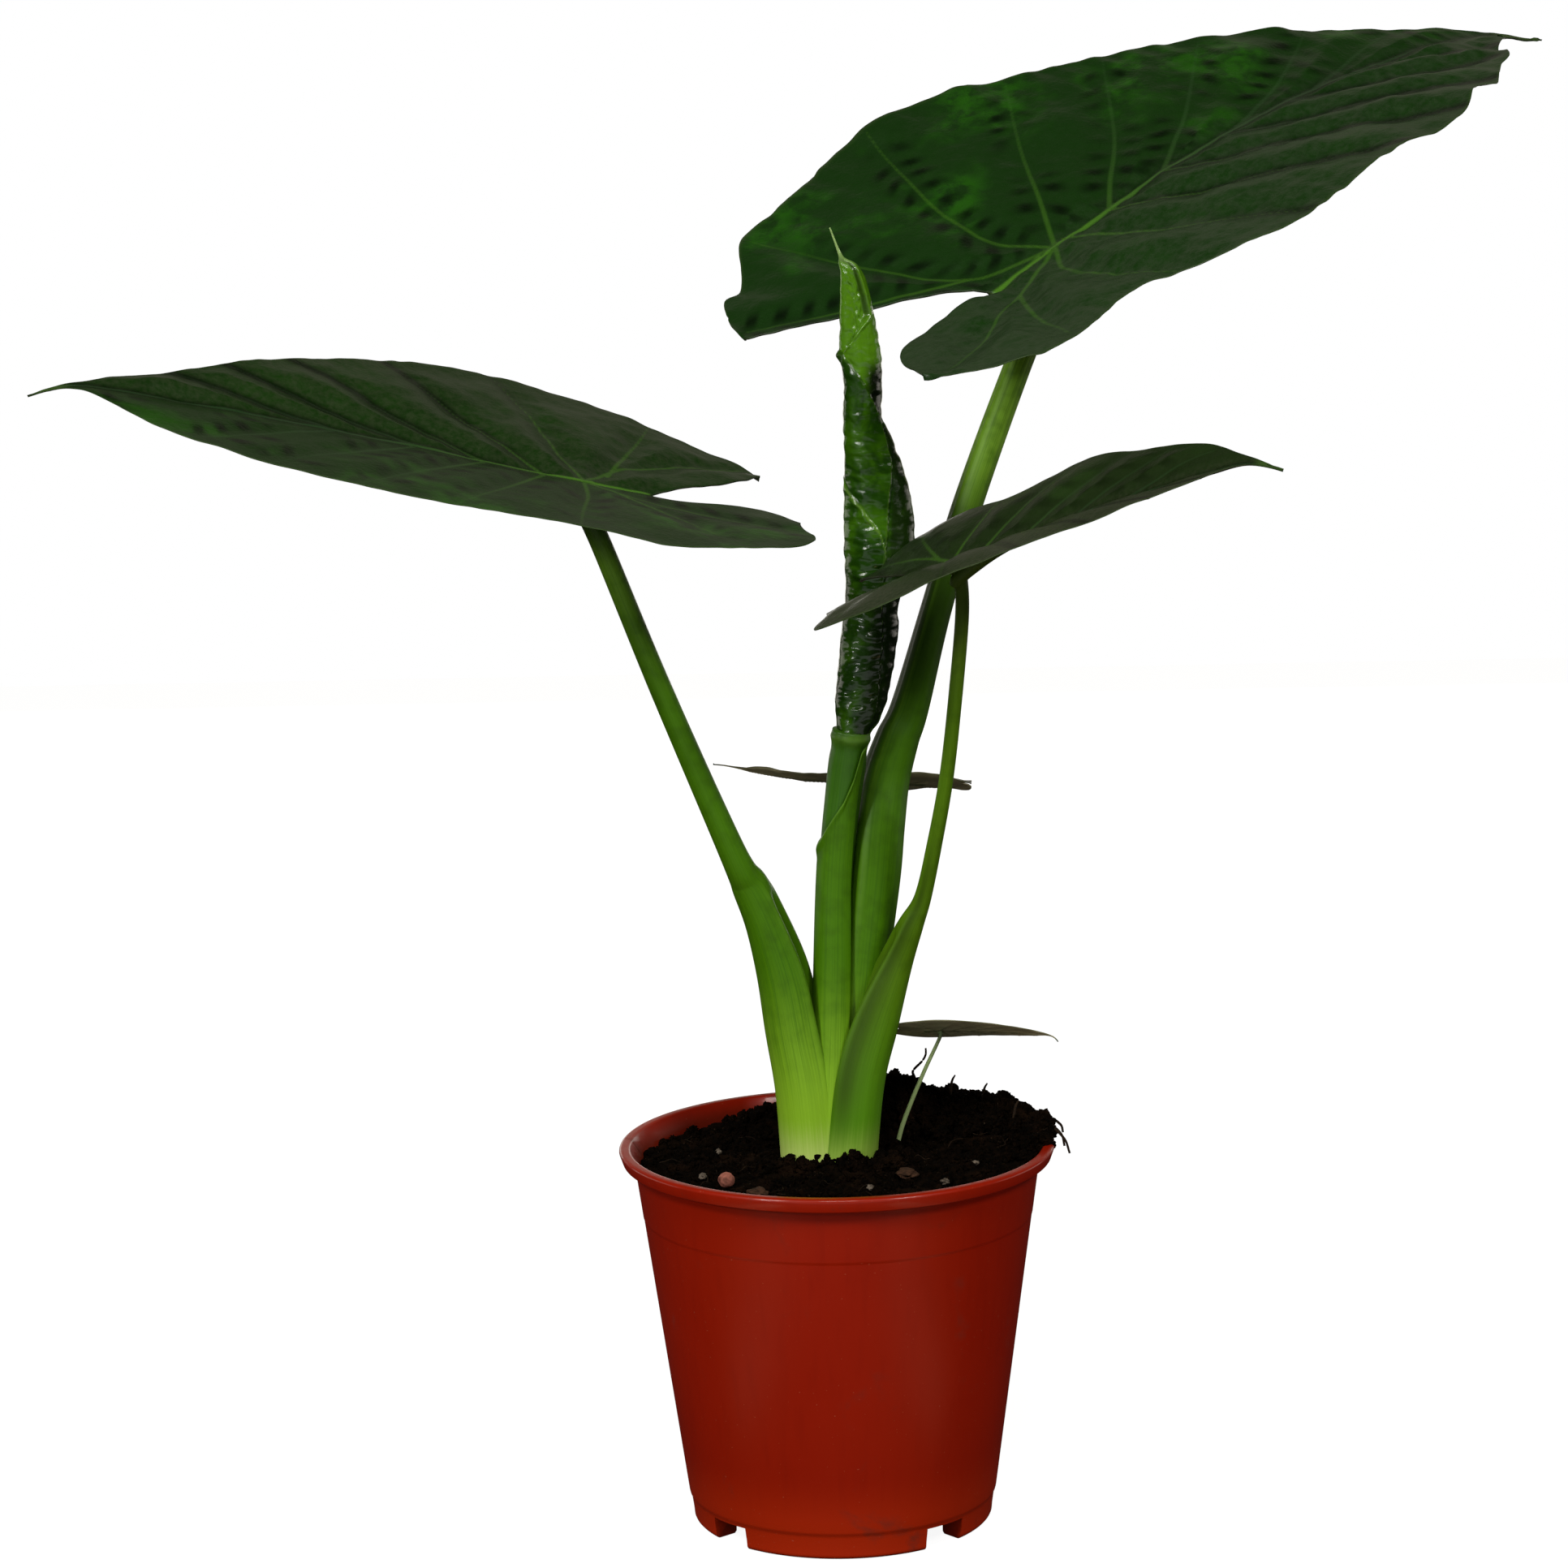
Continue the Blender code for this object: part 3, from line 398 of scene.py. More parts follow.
def wobble(places, size, levels, layer):
    """Smooth noise from -1 to 1 at places along a line, with waves of about the given size."""
    pairs = zip(places / size, np.broadcast_to(levels, places.shape))
    return np.array([noise.noise(Vector((place, level, layer))) for place, level in pairs])


def smooth_rise(values, low, high):
    """0 below low, 1 above high, and a smooth rise between."""
    share = np.clip((values - low) / (high - low), 0.0, 1.0)
    return share * share * (3 - 2 * share)


def between(values, start, full, fading, end):
    """0 below start, 1 from full to fading and 0 above end, with smooth slopes."""
    return smooth_rise(values, start, full) * (1 - smooth_rise(values, fading, end))


def bell(values, width):
    """1 where the values are 0, and falling off on both sides over about the width."""
    return np.exp(-((values / width) ** 2))


def apart(angles, place):
    """How many degrees each angle is from a place, given in degrees, the short way round."""
    return np.degrees(np.angle(np.exp(1j * (angles - math.radians(place)))))


def grid_faces(rows, columns, closed=False):
    """Four-sided faces between the rows of a grid of points, closed round each row or open."""
    faces = []
    for row in range(rows - 1):
        for column in range(columns if closed else columns - 1):
            after = (column + 1) % columns
            first = row * columns
            second = first + columns
            faces.append((first + column, first + after, second + after, second + column))
    return faces


def tube_faces(rows, sides):
    """Faces round a tube of rings, and over its two ends."""
    last = (rows - 1) * sides
    ends = [tuple(reversed(range(sides))), tuple(range(last, last + sides))]
    return grid_faces(rows, sides, closed=True) + ends


def sheet_faces(faces, count):
    """Faces of a thin sheet: its upper skin, the lower skin whose points come count later, and its edge."""
    under = [tuple(corner + count for corner in reversed(face)) for face in faces]
    used = set()
    for face in faces:
        used.update(zip(face, (*face[1:], face[0])))
    edge = [(b, a, a + count, b + count) for a, b in used if (b, a) not in used]
    return faces + under + edge


def gather(*shapes):
    """One set of points and faces from several."""
    points = []
    faces = []
    count = 0
    for shape_points, shape_faces in shapes:
        points.append(np.asarray(shape_points, dtype=float))
        faces.extend(tuple(corner + count for corner in face) for face in shape_faces)
        count += len(shape_points)
    return np.vstack(points), faces


def add_object(name, data):
    """A new object in the scene."""
    thing = bpy.data.objects.new(name, data)
    bpy.context.scene.collection.objects.link(thing)
    return thing


def make_piece(name, points, faces, finish, nodes=(), marks=None, smooth=True):
    """A finished piece from points measured from the plant's origin. It stands for the named nodes."""
    mesh = bpy.data.meshes.new(name)
    mesh.from_pydata((np.asarray(points) + ORIGIN).tolist(), [], faces)
    mesh.materials.append(finish)
    for mark, values in (marks or {}).items():
        attribute = mesh.attributes.new(mark, "FLOAT", "POINT")
        attribute.data.foreach_set("value", np.asarray(values, dtype=np.float32))
    if smooth:
        mesh.shade_smooth()
    mesh.update()
    piece = add_object(name, mesh)
    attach(piece, "root")
    if nodes:
        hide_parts(*nodes)
    return piece


def point_normals(points, faces):
    """The unit normal at each point, averaged over its faces."""
    corners = np.array(faces)
    across = points[corners[:, 2]] - points[corners[:, 0]]
    beside = points[corners[:, 3]] - points[corners[:, 1]]
    face_normals = np.cross(across, beside)
    normals = np.zeros_like(points)
    for corner in range(4):
        np.add.at(normals, corners[:, corner], face_normals)
    return unit(normals)


# ---------------------------------------------------------------- stems


def tube(places, sides, steps, section=None, end_normal=None):
    """A closed loft of ovals along a smooth line, which may end square to a direction.

    section(angles, heights, scale) gives each oval's scale at each angle.
    """
    path = smooth_path(places, steps)
    centres = path[:, :3]
    tangents = unit(np.gradient(centres, axis=0))
    if end_normal is not None:
        share = smooth_rise(np.linspace(0, 1, len(path)), 0.93, 1.0)[:, None]
        tangents = unit(tangents * (1 - share) + np.array(end_normal) * share)
    across = unit(np.array((1.0, 0.0, 0.0)) - tangents * tangents[:, :1])
    deep = np.cross(tangents, across)
    angles = np.linspace(0, math.tau, sides, endpoint=False)
    scale = np.ones((len(path), sides))
    if section:
        scale = section(angles, centres[:, 2:3], scale)
    wide = (path[:, 3:4] * np.cos(angles) * scale)[:, :, None] * across[:, None, :]
    thick = (path[:, 4:5] * np.sin(angles) * scale)[:, :, None] * deep[:, None, :]
    points = (centres[:, None, :] + wide + thick).reshape(-1, 3)
    return points, tube_faces(len(path), sides), angles, path


def creased(creases, seed):
    """A section with grooves and rims along the stem, and a little unevenness."""

    def section(angles, heights, scale):
        for place, width, height, low, high in creases:
            fade = between(heights, low, low + 0.008, high - 0.014, high)
            scale = scale + height * fade * bell(apart(angles, place), width)
        ribs = 0.004 * np.sin(17 * angles + seed) + 0.002 * np.sin(29 * angles - seed)
        bumps = 0.012 * np.sin(38 * heights + seed + 2 * np.cos(angles))
        return scale + ribs + bumps

    return section


def stem_marks(points, angles, rings, creases=(), shades=(), shaded=0.0):
    """Marks for a stem's finish: height, the way round, light rims, painted shade in grooves and stripes, and
    painted shade at the upper end.
    """
    around = np.tile(angles, rings)
    heights = points[:, 2]
    top = heights.max()
    rim, painted_shade, neck = np.zeros((3, len(points)))
    for place, width, height, low, high in creases:
        off = apart(around, place)
        fade = between(heights, low + 0.030, low + 0.070, high - 0.014, high)
        # Sunk creases get painted shade; raised ones give light rims.
        if height > 0:
            rim = np.maximum(rim, fade * bell(off, 5))
        else:
            painted_shade = np.maximum(painted_shade, fade * min(1.0, -2 * height) * bell(off, width))
    # Painted shade where stems lie against each other, and the painted shadow of the middle blade.
    for place, width, low, high, strength in shades:
        fade = between(heights, low, low + 0.040, high - 0.060, high)
        painted_shade = np.maximum(painted_shade, strength * fade * bell(apart(around, place), width))
    # Painted shade at the upper end, under the blade.
    if shaded:
        neck = smooth_rise(heights, top - shaded, top - 0.35 * shaded)
    ways = {"height": heights, "round_x": np.cos(around), "round_y": np.sin(around)}
    return {**ways, "rim": rim, "painted_shade": painted_shade, "neck": neck}


def make_stem(name, places, finish, blade, flare, creases=(), shades=(), sides=56, extra=None, shaded=0.045):
    """A stem that widens into its blade's junction, with anything extra that is part of the same piece."""
    up = blade_turn(BLADES[blade]) @ Vector((0.0, 0.0, 1.0))
    junction = Vector(BLADES[blade]["junction"]) - up * 0.0012
    wide, deep = places[-1][3:]
    neck = (*(junction - up * min(0.006, 3 * wide)), wide * 1.02, deep * 1.02)
    head = (*junction, wide * (1 + flare), deep * (1 + flare))
    points, faces, angles, path = tube((*places[:-1], neck, head), sides, 14, creased(creases, len(name)), up)
    marks = stem_marks(points, angles, len(path), creases, shades, shaded)
    if extra:
        extra_points, extra_faces, extra_marks = extra
        points, faces = gather((points, faces), (extra_points, extra_faces))
        marks = {key: np.concatenate((marks[key], extra_marks[key])) for key in marks}
    return make_piece(name, points, faces, finish, [name], marks)


def spear_wrap():
    """The wing of the right stem's sheath: a thin sheet round the front of the spear."""
    path = smooth_path(SPEAR_WRAP, 24)
    columns, rows = 80, 190
    edge_angles, edge_heights = np.array(WRAP_EDGE).T
    degrees = np.linspace(edge_angles[0], edge_angles[-1], columns)
    top = np.interp(degrees, edge_angles, edge_heights)
    heights = WRAP_FOOT + (top - WRAP_FOOT) * np.linspace(0, 1, rows)[:, None]
    side = np.sin(math.pi * np.arange(columns) / (columns - 1)) ** 0.35
    curl = 0.0008 * smooth_rise(heights, top - 0.006, top)
    round_off = 0.0004 * smooth_rise(heights, top - 0.0012, top)
    x, y, wide, deep = (np.interp(heights, path[:, 2], path[:, i]) for i in (0, 1, 3, 4))
    skins = []
    for swell in (curl - round_off, curl - 0.0011 * side):
        across = x + (wide + swell) * np.cos(np.radians(degrees))
        back = y + (deep + swell) * np.sin(np.radians(degrees))
        skins.append(np.stack((across, back, heights), axis=-1).reshape(-1, 3))
    points = np.vstack(skins)
    marks = stem_marks(points, np.radians(degrees), 2 * rows)
    marks["rim"] = np.tile(smooth_rise(heights, top - 0.0016, top - 0.0008).ravel(), 2)
    return points, sheet_faces(grid_faces(rows, columns), rows * columns), marks


# ---------------------------------------------------------------- blades


def half_grid(outline, stations, rows):
    """A grid of flat points over half a blade, from the notch and midrib out to the margin."""
    lobe_stations = int(stations * LOBE_SHARE)
    lobe = resample(smooth_path(outline[: LOBE_END + 1][::-1], 12), lobe_stations)
    midrib_length = stations - lobe_stations + 1
    midrib_line = np.linspace(outline[0][0], outline[-1][0], midrib_length)
    midrib = np.column_stack((midrib_line, np.zeros(midrib_length)))
    inner = np.vstack((lobe[:-1], midrib))[:, None, :]
    margin = resample(smooth_path(outline[LOBE_END:], 12), stations)[:, None, :]
    out = np.linspace(0.0, 1.0, rows + 1)[:, None]
    return inner * (1 - out) + margin * out


def nicked_half(blade, side):
    """Half a blade with small nicks in its margin, and how far along the margin each of its rows is."""
    length = blade["length"]
    grid = half_grid(blade["left"] if side > 0 else blade["right"], blade["stations"], blade["rows"])
    seed = 3.1 + side + length * 10
    along = np.arange(len(grid)) * 2.1 * length / len(grid)
    ragged = wobble(along, 0.016, seed, 0) + 3.0 * np.maximum(wobble(along, 0.006, seed, 4) - 0.40, 0)
    fade = np.clip((1.0 - grid[:, -1, 0]) / 0.06, 0, 1) * (np.arange(len(grid)) > 6)
    inward = grid[:, 0] - grid[:, -1]
    reach = np.maximum(np.linalg.norm(inward, axis=1), 1e-4)
    pull = np.minimum(blade["nicks"] * ragged / length, 0.3 * reach) * fade / reach
    near_margin = smooth_rise(np.linspace(0, 1, blade["rows"] + 1), 0.70, 1.0)
    return grid + (inward * pull[:, None])[:, None, :] * near_margin[:, None], along


def join_halves(blade):
    """Both halves as one flat sheet that shares the midrib's points.

    Gives its faces and, for each point, its two places, its share of the way out to the margin, how far
    along the margin it is, and its side: 1 for left and -1 for right.
    """
    shared = int(blade["stations"] * LOBE_SHARE) - 1
    tables = []
    faces = []
    count = 0
    midrib = None
    for side in (1, -1):
        grid, along = nicked_half(blade, side)
        share, arc = np.meshgrid(np.linspace(0, 1, blade["rows"] + 1), along)
        fresh = np.ones(share.shape, dtype=bool)
        fresh[shared:, 0] = side > 0
        numbers = count - 1 + np.cumsum(fresh.ravel()).reshape(fresh.shape)
        if midrib is None:
            midrib = numbers[shared:, 0]
        numbers[shared:, 0] = midrib
        corners = (numbers[:-1, :-1], numbers[1:, :-1], numbers[1:, 1:], numbers[:-1, 1:])
        quads = np.stack(corners, axis=-1).reshape(-1, 4)[:, ::side]
        faces += [tuple(quad) for quad in quads.tolist()]
        tables.append(np.dstack((grid * (1, side), share, arc, np.full(share.shape, side)))[fresh])
        count += len(tables[-1])
    return faces, np.vstack(tables)


def bend_blade(flat, bends):
    """Fold, droop, arch and twist flat blade points, still in lengths of the blade."""
    fold_left, fold_right, droop, arch, arch_growth, lobe_droop, twist, tip_droop = bends
    along, out = flat[:, 0], flat[:, 1]
    up = np.where(out > 0, fold_left, fold_right) * np.abs(out) - droop * out**2
    line = np.linspace(-0.6, 1.2, 181)
    pitch = np.where(line > 0, arch * line + arch_growth * line**2, lobe_droop * line)
    pitch += tip_droop * smooth_rise(line, 0.93, 1.08)
    step = line[1] - line[0]
    middle = (pitch[1:] + pitch[:-1]) / 2
    reach = np.concatenate(([0.0], np.cumsum(np.cos(middle)))) * step
    rise = -np.concatenate(([0.0], np.cumsum(np.sin(middle)))) * step
    reach -= np.interp(0.0, line, reach)
    rise -= np.interp(0.0, line, rise)
    turn = twist * along
    side = out * np.cos(turn) - up * np.sin(turn)
    lift = out * np.sin(turn) + up * np.cos(turn)
    tilt = np.interp(along, line, pitch)
    x = np.interp(along, line, reach) + lift * np.sin(tilt)
    z = np.interp(along, line, rise) + lift * np.cos(tilt)
    return np.column_stack((x, side, z))


def blade_turn(blade):
    """The turn that carries +X to the midrib's direction and +Z to the blade's upper side."""
    heading = Matrix.Rotation(math.radians(blade["heading"]), 3, "Z")
    rise = Matrix.Rotation(-math.radians(blade["rise"]), 3, "Y")
    bank = Matrix.Rotation(math.radians(blade["bank"]), 3, "X")
    return heading @ rise @ bank


def distance_to(path, places):
    """How far each place is from a line, and the share of the line's length that it is along it."""
    lengths_along = arc_lengths(path)
    fractions = lengths_along / lengths_along[-1]
    best = np.full(len(places), 1.0)
    share = np.zeros(len(places))
    for a, b, start, end in zip(path, path[1:], fractions, fractions[1:]):
        leg = b - a
        t = np.clip(((places - a) @ leg) / (leg @ leg), 0, 1)
        distance = np.linalg.norm(places - a - t[:, None] * leg, axis=1)
        share = np.where(distance < best, start + (end - start) * t, share)
        best = np.minimum(best, distance)
    return best, share


def vein_field(flat, blade):
    """For each flat point: how far the nearest vein is and how far along it, the ribs' height, and how many
    widths away the nearest line is, with its strength there.
    """
    length = blade["length"]
    veins = [(((-0.13, 0.0), (0.0, 0.0), (1.12, 0.0)), 1)]
    veins += [(vein, 1) for vein in blade["left_veins"]]
    veins += [(vein, -1) for vein in blade["right_veins"]]
    along, rib, strength = np.zeros((3, len(flat)))
    nearest = np.full(len(flat), 1.0)
    widths_away = np.full(len(flat), 9.0)
    for number, (vein, side) in enumerate(veins):
        line_width, line_strength, rib_share = SIDE_VEIN if number else MIDRIB
        path = smooth_path(np.array(vein) * (length, side * length), 8)
        distance, share = distance_to(path, flat * length)
        radius = blade["rib"] * rib_share * (1 - 0.80 * share)
        rib = np.maximum(rib, np.sqrt(np.maximum(radius**2 - distance**2, 0.0)))
        away = distance / (line_width * (1 - 0.5 * share) * (0.5 + 1.7 * length))
        strength = np.where(away < widths_away, line_strength * (1 - 0.6 * share), strength)
        widths_away = np.minimum(widths_away, away)
        along = np.where(distance < nearest, share * arc_lengths(path)[-1] + number * 0.013, along)
        nearest = np.minimum(nearest, distance)
    return nearest, along, rib, widths_away, strength


def puffed_skin(blade, table, base, nearest, along, tip_fade):
    """How far the upper skin stands off its base, and where the small folds beside the veins get painted
    shade.
    """
    reach, side_way, out, arc, side = table.T
    length = blade["length"]
    swell = np.where(side > 0, *blade["swells"])
    beside_vein = bell(nearest - 0.0070, 0.0048) * (1 - smooth_rise(out, 0.75, 0.95))
    ripple = np.sin(math.tau * (along + 0.5 * nearest) / 0.0135 + 4.0 * lumps(base, 0.03, 1.0))
    # Where painted shade goes in the small folds beside the veins.
    quilt_shade = smooth_rise(ripple, -0.5, 0.9) * beside_vein * smooth_rise(lumps(base, 0.035, 8.0), -0.35, 0.15)
    puff = (1 - bell(nearest, 0.030 * length + 0.0015)) * (0.35 + 0.65 * tip_fade)
    lift = swell * puff * (1 - 0.9 * smooth_rise(out, 0.55, 1.0))
    unevenness = 0.45 * lumps(base, 0.022, 5.0) + 0.10 * lumps(base, 0.007, 9.0)
    lift += swell * (0.05 * ripple * beside_vein + unevenness)
    midrib_top = bell(side_way * length, 0.55 * blade["rib"]) * (1 - 0.8 * np.clip(reach, 0, 1))
    lift += 0.30 * blade["rib"] * midrib_top * (reach > -0.02)
    seed = length * 40
    waves = 1.6 * wobble(arc, 0.030, side * 2.0 + seed, 1.5)
    waves += 0.5 * wobble(arc, 0.011, side * 3.0 + seed, 2.5)
    lift += blade["wave"] * out**4 * waves * (0.15 + 0.85 * tip_fade)
    return lift, quilt_shade


def make_blade(name, finish):
    """A blade: its upper skin puffed up between the veins, its lower skin ribbed, and its margin thin."""
    blade = BLADES[name]
    faces, table = join_halves(blade)
    flat, out = table[:, :2], table[:, 2]
    nearest, along, rib, widths_away, strength = vein_field(flat, blade)
    base = bend_blade(flat, blade["bends"]) * blade["length"]
    tip_fade = 1 - smooth_rise(flat[:, 0], 0.80, 1.0)
    lift, quilt_shade = puffed_skin(blade, table, base, nearest, along, tip_fade)
    top = base + point_normals(base, faces) * lift[:, None]
    margin = smooth_rise(out, 0.90, 1.0)
    thin = blade["thickness"] * (1 - 0.55 * margin) * (0.45 + 0.55 * tip_fade)
    bottom = top - point_normals(top, faces) * (thin + rib * (1 - margin))[:, None]
    turn = np.array(blade_turn(blade))
    points = np.vstack((top, bottom)) @ turn.T + np.array(blade["junction"])
    marks = {
        "widths_away": widths_away,
        "quilt_shade": quilt_shade,
        # Where painted shade goes along the veins.
        "valley_shade": bell(nearest, 0.010 * blade["length"] + 0.0004),
        "strength": strength,
        "rib": rib / blade["rib"],
        "margin": smooth_rise(out, 1 - 1.6 / blade["rows"], 1.0),
        "reach": flat[:, 0],
        "side_way": flat[:, 1],
    }
    marks = {mark: np.tile(values, 2) for mark, values in marks.items()}
    marks["under"] = np.repeat((0.0, 1.0), len(top))
    return make_piece(name, points, sheet_faces(faces, len(top)), finish, [name], marks)


# ---------------------------------------------------------------- the rolled leaf


def edge_step(past, sharpness, reach):
    """The step down over a free edge of the sheet, fading away on both sides of it."""
    return (0.5 - smooth_rise(past, -sharpness, sharpness)) * np.exp(-np.abs(past) / reach)


def make_rolled_leaf(finish):
    """A leaf rolled about itself: a loft with the sheet's free edges, an open scoop above and crinkles."""
    rows = resample(smooth_path(ROLLED_LEAF, 20), ROLL_RINGS, 3)
    points, faces, angles, path = tube(rows, ROLL_SIDES, 1)
    way = np.degrees(np.tile(angles, len(path)) - math.pi) % 360
    height = points[:, 2]
    radius = np.repeat(path[:, 3], ROLL_SIDES)
    out = unit(points - np.repeat(path[:, :3], ROLL_SIDES, axis=0))
    front = 1 - smooth_rise(way, 185, 215)
    above_first = height - np.interp(way, *np.array(SPIRAL_EDGE).T)
    above_second = height - np.interp(way + 360, *np.array(SPIRAL_EDGE).T)
    to_metres = radius * math.pi / 180
    beside = (way - np.interp(height, *np.array(FRONT_EDGE).T)) * to_metres
    past_scoop = (way - np.interp(height, *np.array(SCOOP_EDGE).T)) * to_metres
    in_front = between(height, 0.412, 0.424, 0.478, 0.486) * front
    scoop = between(height, 0.5112, 0.5150, 0.549, 0.555) * front
    hollow = smooth_rise(way, 8, 75) * (1 - smooth_rise(past_scoop, -0.0016, -0.0002)) * scoop
    left_line = np.minimum(way, 360 - way) / 9

    steps = 0.6 * (edge_step(above_first, 0.0007, 0.010) + edge_step(above_second, 0.0007, 0.010))
    relief = SHEET_STEP * (steps + edge_step(beside, 0.0005, 0.008) * in_front)
    relief += 0.0005 * scoop * bell(past_scoop, 0.0009) - 0.42 * radius * hollow
    relief += 0.0016 * bell(left_line, 2) * bell(height - 0.5108, 0.0018)
    waved = np.column_stack((0.010 * np.cos(np.radians(way)), 0.010 * np.sin(np.radians(way)), 1.8 * height))
    crinkled = (1 - smooth_rise(above_second, -0.0010, 0.0)) * smooth_rise(height, 0.352, 0.362)
    small = lumps(waved, 0.0042, 7.0) * smooth_rise(way, 20, 62) * (1 - 0.8 * smooth_rise(way, 105, 150))
    small *= 1 - 0.9 * bell(above_second, 0.0018)
    relief += (0.00040 + 0.00045 * crinkled + 0.00030 * hollow) * small + 0.00045 * lumps(waved, 0.0065, 3.0)
    points = points + out * (relief * np.clip(radius / 0.006, 0, 1))[:, None]

    edges = (
        0.15 * bell(above_first + 0.0008, 0.0008),
        0.85 * bell(above_second + 0.0008, 0.0008),
        0.30 * in_front * bell(beside + 0.0005, 0.0004),
        0.30 * scoop * smooth_rise(height, 0.520, 0.530) * bell(past_scoop, 0.0004),
        0.90 * smooth_rise(height, 0.5125, 0.5150) * bell(left_line, 1),
    )
    inner = smooth_rise(above_first, 0.0, 0.0008)
    # Painted shade: inside the roll, beside its front edge, inside the scoop's rim and on its back, and the
    # painted shadow of the middle blade on its lower part.
    shadows = (
        inner * smooth_rise(way, 84, 122) * (1 - smooth_rise(height, 0.502, 0.512)) * front,
        0.75 * smooth_rise(beside, -0.0002, 0.0030) * in_front,
        (0.10 + 0.75 * smooth_rise(way, 75, 110)) * (1 - smooth_rise(height, 0.405, 0.425)),
        0.75 * scoop * bell(past_scoop + 0.0010, 0.0006) * smooth_rise(height, 0.522, 0.532),
        0.50 * (1 - front),
    )
    marks = {
        **stem_marks(points, angles, len(path)),
        "edge": np.max(edges, axis=0) * smooth_rise(height, 0.350, 0.420),
        "inner": inner,
        "shadow": np.max(shadows, axis=0),
    }
    return make_piece("rolled_leaf", points, faces, finish, ["rolled_leaf"], marks)


def make_spear_sheath(finish):
    """The sheath that the rolled leaf comes out of, with a lip round its mouth."""

    def section(angles, heights, scale):
        ring = 0.07 * bell(heights - SHEATH_LIP, 0.0016)
        neck = -0.05 * bell(heights - SHEATH_LIP + 0.005, 0.003)
        seam = -0.05 * bell(apart(angles, SHEATH_SEAM), 9)
        lean = 0.03 * np.sin(2 * angles + 60 * heights)
        return scale + ring + neck + seam + lean

    points, faces, angles, path = tube(SPEAR_SHEATH, 72, 30, section)
    marks = stem_marks(points, angles, len(path), shades=SHEATH_SHADES)
    marks["rim"] = 1.6 * bell(points[:, 2] - SHEATH_LIP, 0.0020)
    return make_piece("spear_sheath", points, faces, finish, ["spear_sheath"], marks)


# ---------------------------------------------------------------- pot


def arc(centre, radius, start, end, steps=6):
    """Profile points on an arc, from one angle to another in degrees."""
    angles = np.radians(np.linspace(start, end, steps))
    return [(centre[0] + radius * math.cos(a), centre[1] + radius * math.sin(a)) for a in angles]


def wall_radius(height):
    """The outside radius of the pot's slanting wall."""
    rise = (height - FOOT_HEIGHT) / (POT_HEIGHT - LIP_HEIGHT - FOOT_HEIGHT)
    return WALL_FOOT_RADIUS + (WALL_TOP_RADIUS - WALL_FOOT_RADIUS) * rise


def pot_profile():
    """The pot's section from the middle of its floor, up inside, over the rim and down to its base."""
    lip_bottom = POT_HEIGHT - LIP_HEIGHT
    raised = NOTCH_HEIGHT + 0.0005
    ring_inside = BASE_RADIUS - FOOT_RING
    bead = 0.0016
    step_at = POT_HEIGHT - STACKING_DEPTH
    inside = [(0.0, raised + FLOOR), (wall_radius(FOOT_HEIGHT) - WALL - 0.002, raised + FLOOR)]
    inside += [(wall_radius(z) - WALL, z) for z in np.linspace(raised + FLOOR + 0.002, lip_bottom, 12)]
    inside += [(RIM_RADIUS - 2 * bead - 0.0022, POT_HEIGHT - bead)]
    rim = arc((RIM_RADIUS - 2 * bead - 0.0004, POT_HEIGHT - bead), bead, 150, 90)
    rim += arc((RIM_RADIUS - bead, POT_HEIGHT - bead), bead, 90, 0, 8)
    rim += arc((LIP_LOWER_RADIUS - 0.0008, lip_bottom + 0.0008), 0.0008, -10, -90)
    rim += arc((WALL_TOP_RADIUS + 0.0006, lip_bottom - 0.0006), 0.0006, 90, 180)
    above_step = (*np.linspace(lip_bottom - 0.002, step_at + 0.0012, 7), step_at + 0.0005)
    below_step = (step_at, step_at - 0.0007, *np.linspace(step_at - 0.002, FOOT_HEIGHT + 0.001, 30))
    wall = [(wall_radius(z), z) for z in above_step]
    wall += [(wall_radius(z) - STACKING_STEP, z) for z in below_step]
    foot_radius = wall_radius(FOOT_HEIGHT)
    foot = [(foot_radius - 0.0003, FOOT_HEIGHT), (foot_radius - 0.0008, FOOT_HEIGHT - 0.0007)]
    foot += [(foot_radius - 0.0011, FOOT_HEIGHT - 0.0020), (BASE_RADIUS + 0.0016, 0.0045)]
    foot += arc((BASE_RADIUS - 0.0008, 0.0022), 0.0022, 5, -90)
    base = [(ring_inside + 0.001, 0.0), (ring_inside, 0.001), (ring_inside, raised), (0.0, raised)]
    return inside + rim + wall + foot + base


def turned_pot():
    """The pot before its notches, with a shallow dent in the front of its foot."""
    profile = np.array(pot_profile())
    angles = np.linspace(0, math.tau, POT_STEPS, endpoint=False)
    dent = np.zeros((len(profile), POT_STEPS))
    dent[profile[:, 1] < 0.0001] = DENT_HEIGHT * (np.abs(apart(angles, DENT_TURN)) < DENT_ANGLE)
    radii = profile[:, :1]
    points = np.stack((radii * np.cos(angles), radii * np.sin(angles), profile[:, 1:] + dent), axis=-1)
    mesh = bpy.data.meshes.new("pot_blank")
    mesh.from_pydata(points.reshape(-1, 3).tolist(), [], grid_faces(len(profile), POT_STEPS, closed=True))
    shape = bmesh.new()
    shape.from_mesh(mesh)
    bmesh.ops.remove_doubles(shape, verts=shape.verts, dist=1e-6)
    bmesh.ops.dissolve_degenerate(shape, edges=shape.edges, dist=1e-7)
    bmesh.ops.recalc_face_normals(shape, faces=shape.faces)
    shape.to_mesh(mesh)
    shape.free()
    return add_object("pot_blank", mesh)


